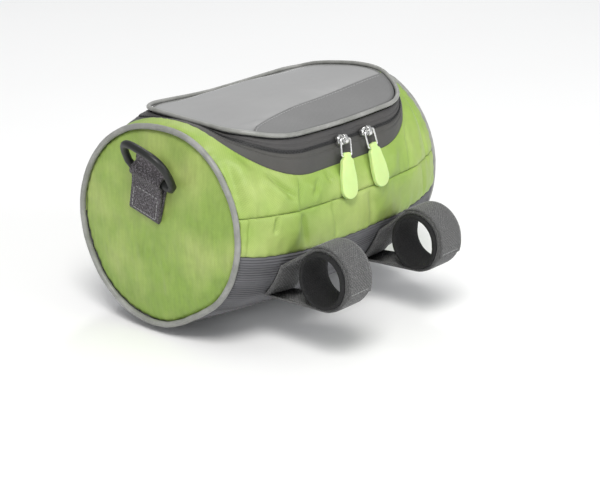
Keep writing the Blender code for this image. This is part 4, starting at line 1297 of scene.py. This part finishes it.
# %% Webbing tabs
WEBBING_WIDTH, WEBBING_WALL = 0.0280, 0.0016
TAB_TOP, TAB_BOTTOM, TAB_OFFSET = 0.0505, 0.0065, 0.0008
RING_BAR_HEIGHT, RING_BAR_DIAMETER = 0.0385, 0.0056
RING_SHIFT, RING_CLEARANCE, RING_REACH = 0.0030, 0.0015, 0.0348
RING_WIDTH = WEBBING_WIDTH + 2 * (RING_BAR_DIAMETER + RING_SHIFT + RING_CLEARANCE)
RING_SQUARENESS, RING_ARM = 0.6, 0.16
TAB_LEAN = 15.0
TAB_CURL = 0.0022
WEBBING_COLUMNS = 14
TAB_PLY = 2 * WEBBING_WALL + GAP
TAB_FOOT, TAB_HEAD = TAB_BOTTOM - RING_BAR_HEIGHT, TAB_TOP - RING_BAR_HEIGHT
STITCH_MARGIN, STITCH_TOP = 0.0026, 0.4


def tab_profile():
    """Closed profile of the doubled webbing: distance out of the panel and height over the ring's bar."""
    ply, low, high, curl = TAB_PLY, TAB_FOOT, TAB_HEAD, TAB_CURL
    bar_out = WEBBING_WALL + 2 * GAP + RING_BAR_DIAMETER / 2
    wrap = RING_BAR_DIAMETER / 2 + 2 * GAP + WEBBING_WALL
    points = [(0, low + ply / 2), (0, low * 0.5), (0, 0), (curl * 0.4, high * 0.5), (curl, high - ply / 2)]
    points += [(ply * 0.3 + curl, high), (ply * 0.7 + curl, high), (ply + curl, high - ply / 2)]
    points.append((ply * 1.1 + curl * 0.5, high * 0.5))
    for turn in range(70, -71, -10):
        angle = math.radians(turn)
        points.append((bar_out + wrap * math.cos(angle), wrap * math.sin(angle)))
    points += [(ply * 1.5, low * 0.35), (ply * 1.3, low * 0.55), (ply * 1.1, low * 0.8), (ply, low + ply / 2)]
    points += [(ply * 0.7, low), (ply * 0.3, low)]
    return points


lean = Matrix.Rotation(math.radians(TAB_LEAN), 3, "X")
tab_up, tab_across = lean @ Vector((0, 0, 1)), lean @ Vector((0, 1, 0))
for label, side in SIDES:
    out = Vector((side, 0, 0))
    seat = BAG_ORIGIN + Vector((side * HALF_LENGTH, -TAB_OFFSET, RING_BAR_HEIGHT))
    rows = []
    for share in shares(WEBBING_COLUMNS):
        selvedge = 0.0002 * bell((0.5 - abs(share - 0.5)) * WEBBING_COLUMNS, 0.8)
        rows.append([seat + out * (x + selvedge) + tab_up * y + tab_across * WEBBING_WIDTH * (share - 0.5)
                     for x, y in tab_profile()])
    tab = sew("webbing_tab_" + label, rows, closed=True, flip=side < 0, wall=WEBBING_WALL)
    wear(tab, webbing_yarn, nodes=["tab_webbing_" + label])
    half, low, top = WEBBING_WIDTH / 2 - STITCH_MARGIN, TAB_FOOT + STITCH_MARGIN, TAB_FOOT * STITCH_TOP
    box = (("foot", (-half, low), (half, low)), ("left", (-half, low), (-half, top)),
           ("right", (half, low), (half, top)), ("top", (-half, top), (half, top)))
    for part, start, stop in box:
        line = []
        for t in shares(12):
            x, y = (start[i] + (stop[i] - start[i]) * t for i in (0, 1))
            proud = TAB_PLY * (1 + 0.75 * (1 - y / TAB_FOOT))
            line.append(seat + tab_across * x + tab_up * y + out * proud)
        stitch_row("tab_stitches_" + part + "_" + label, line, lambda point: out)
print("webbing profile points:", len(tab_profile()))

# %% D-rings


def ring_path(matrix, steps=48):
    """Closed D: the straight bar on the local X axis and a bow above it."""
    half = RING_WIDTH / 2 - RING_BAR_DIAMETER / 2
    reach = RING_REACH - RING_BAR_DIAMETER
    straight = half - RING_BAR_DIAMETER / 2
    points = [Vector((straight * k / 10, 0, 0)) for k in range(-10, 11)]
    for share in shares(steps):
        turn = math.pi * share
        round_x = math.copysign(abs(math.cos(turn)) ** RING_SQUARENESS, math.cos(turn))
        round_y = math.sin(turn) ** RING_SQUARENESS
        points.append(Vector((half * round_x, reach * (RING_ARM + (1 - RING_ARM) * round_y), 0)))
    return [matrix @ point for point in points]


for label, side in SIDES:
    low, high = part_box("d_ring_" + label)
    local = swing_frame("ring_" + label + "_swing", side, (low + high) / 2, 1)
    ring = cord_round("bent_ring_" + label, ring_path(local), RING_BAR_DIAMETER, detail=5)
    wear(ring, ring_plastic, "ring_" + label, ["d_ring_" + label])
print("rings are", RING_WIDTH * 1000, "mm wide")

# %% [markdown]
# ## Straps
# Each strap has a black hook layer next to the bar and a grey brushed loop layer over it, which is sewn
# to the base. They are closed as in use. Strap cloth is stiff and lies in clean curves, so it is made
# straight from its path, with soft edges and a fuzzy finish instead of a simulation.

# %% Strap loops
BAR_DIAMETER = 0.0318
STRAP_SPACING, STRAP_MIDDLE, STRAP_SLACK = 0.1030, -0.0140, 0.0025
STRAP_WIDTH, STRAP_WALL = 0.0250, 0.0024
STRAP_ANCHOR_UP, STRAP_ANCHOR_DOWN = 102.0, 122.0
STRAP_COLUMNS = 12
TAIL_WALL = 0.0012
TAIL_TURNS = (62, 205)
TAIL_SHARE = 0.94
TAIL_STEPS = 40
TAIL_STITCHED = 0.40       # half the width of a stitched line, as a share of the strap's


def bar_point(x, radius, turn):
    """Point of a strap's face at an angle round the bar, sagging under it."""
    sag = STRAP_SLACK * max(0, -math.sin(turn))
    return Vector((x, 0, 0)) + (radius + sag) * Vector((0, math.cos(turn), math.sin(turn)))


def strap_path(radius, x, sewn_x):
    """Closed path of a strap's outer face: sewn along the base, then round the bar."""
    sewn = []
    for t in shares(10):
        angle = STRAP_ANCHOR_DOWN + (STRAP_ANCHOR_UP - STRAP_ANCHOR_DOWN) * t
        place = on_barrel(sewn_x, angle, skin_radius(sewn_x, angle) + 3 * GAP)
        sewn.append(Vector((x, place.y, place.z)))
    ends = []
    for anchor, sign in ((sewn[-1], 1), (sewn[0], -1)):
        reach = Vector((0, anchor.y, anchor.z))
        slack = STRAP_SLACK if sign < 0 else 0
        ends.append(math.atan2(reach.z, reach.y) + sign * math.acos((radius + slack) / reach.length))
    first, last = ends[0], ends[1] + 2 * math.pi
    return [bar_point(x, radius, first + (last - first) * t) for t in shares(72)] + sewn


inner_radius = BAR_DIAMETER / 2 + GAP + STRAP_WALL
outer_radius = inner_radius + GAP + STRAP_WALL
for label, side in SIDES:
    x = STRAP_MIDDLE + side * STRAP_SPACING / 2 + BAG_ORIGIN.x
    turns = [math.radians(5 * k) for k in range(72)]
    rows = [[bar_point(x + STRAP_WIDTH * (1.1 * share - 0.6), inner_radius, turn) for turn in turns]
            for share in shares(STRAP_COLUMNS)]
    hooks = sew("strap_hooks_" + label, rows, closed=True, wall=STRAP_WALL)
    wear(hooks, strap_hooks, nodes=["strap_inner_" + label])
    rows = []
    for share in shares(STRAP_COLUMNS):
        edge_drop = 0.0004 * bell((0.5 - abs(share - 0.5)) * STRAP_COLUMNS, 0.7)
        at = x + STRAP_WIDTH * (share - 0.5)
        rows.append(strap_path(outer_radius - edge_drop, at, at - BAG_ORIGIN.x))
    loops = sew("strap_loops_" + label, rows, closed=True, wall=STRAP_WALL)
    wear(loops, strap_loops, nodes=["strap_outer_" + label])
    tail_radius = outer_radius + TAIL_WALL
    turns = [math.radians(TAIL_TURNS[0] + (TAIL_TURNS[1] - TAIL_TURNS[0]) * t) for t in shares(TAIL_STEPS)]
    rows = [[bar_point(x + STRAP_WIDTH * TAIL_SHARE * (share - 0.5), tail_radius, turn) for turn in turns]
            for share in shares(STRAP_COLUMNS)]
    tail = sew("strap_tail_" + label, rows, wall=TAIL_WALL)
    wear(tail, strap_loops)
    for part, turn in (("top", turns[2]), ("end", turns[-3])):
        reach = STRAP_WIDTH * TAIL_STITCHED
        line = [bar_point(x + reach * (2 * t - 1), tail_radius, turn) for t in shares(10)]
        stitch_row("strap_stitches_" + part + "_" + label, line,
                   lambda point: Vector((0, point.y, point.z)).normalized())
print("straps at", [round((STRAP_MIDDLE + s * STRAP_SPACING / 2 + BAG_ORIGIN.x) * 1000, 1) for s in (-1, 1)])
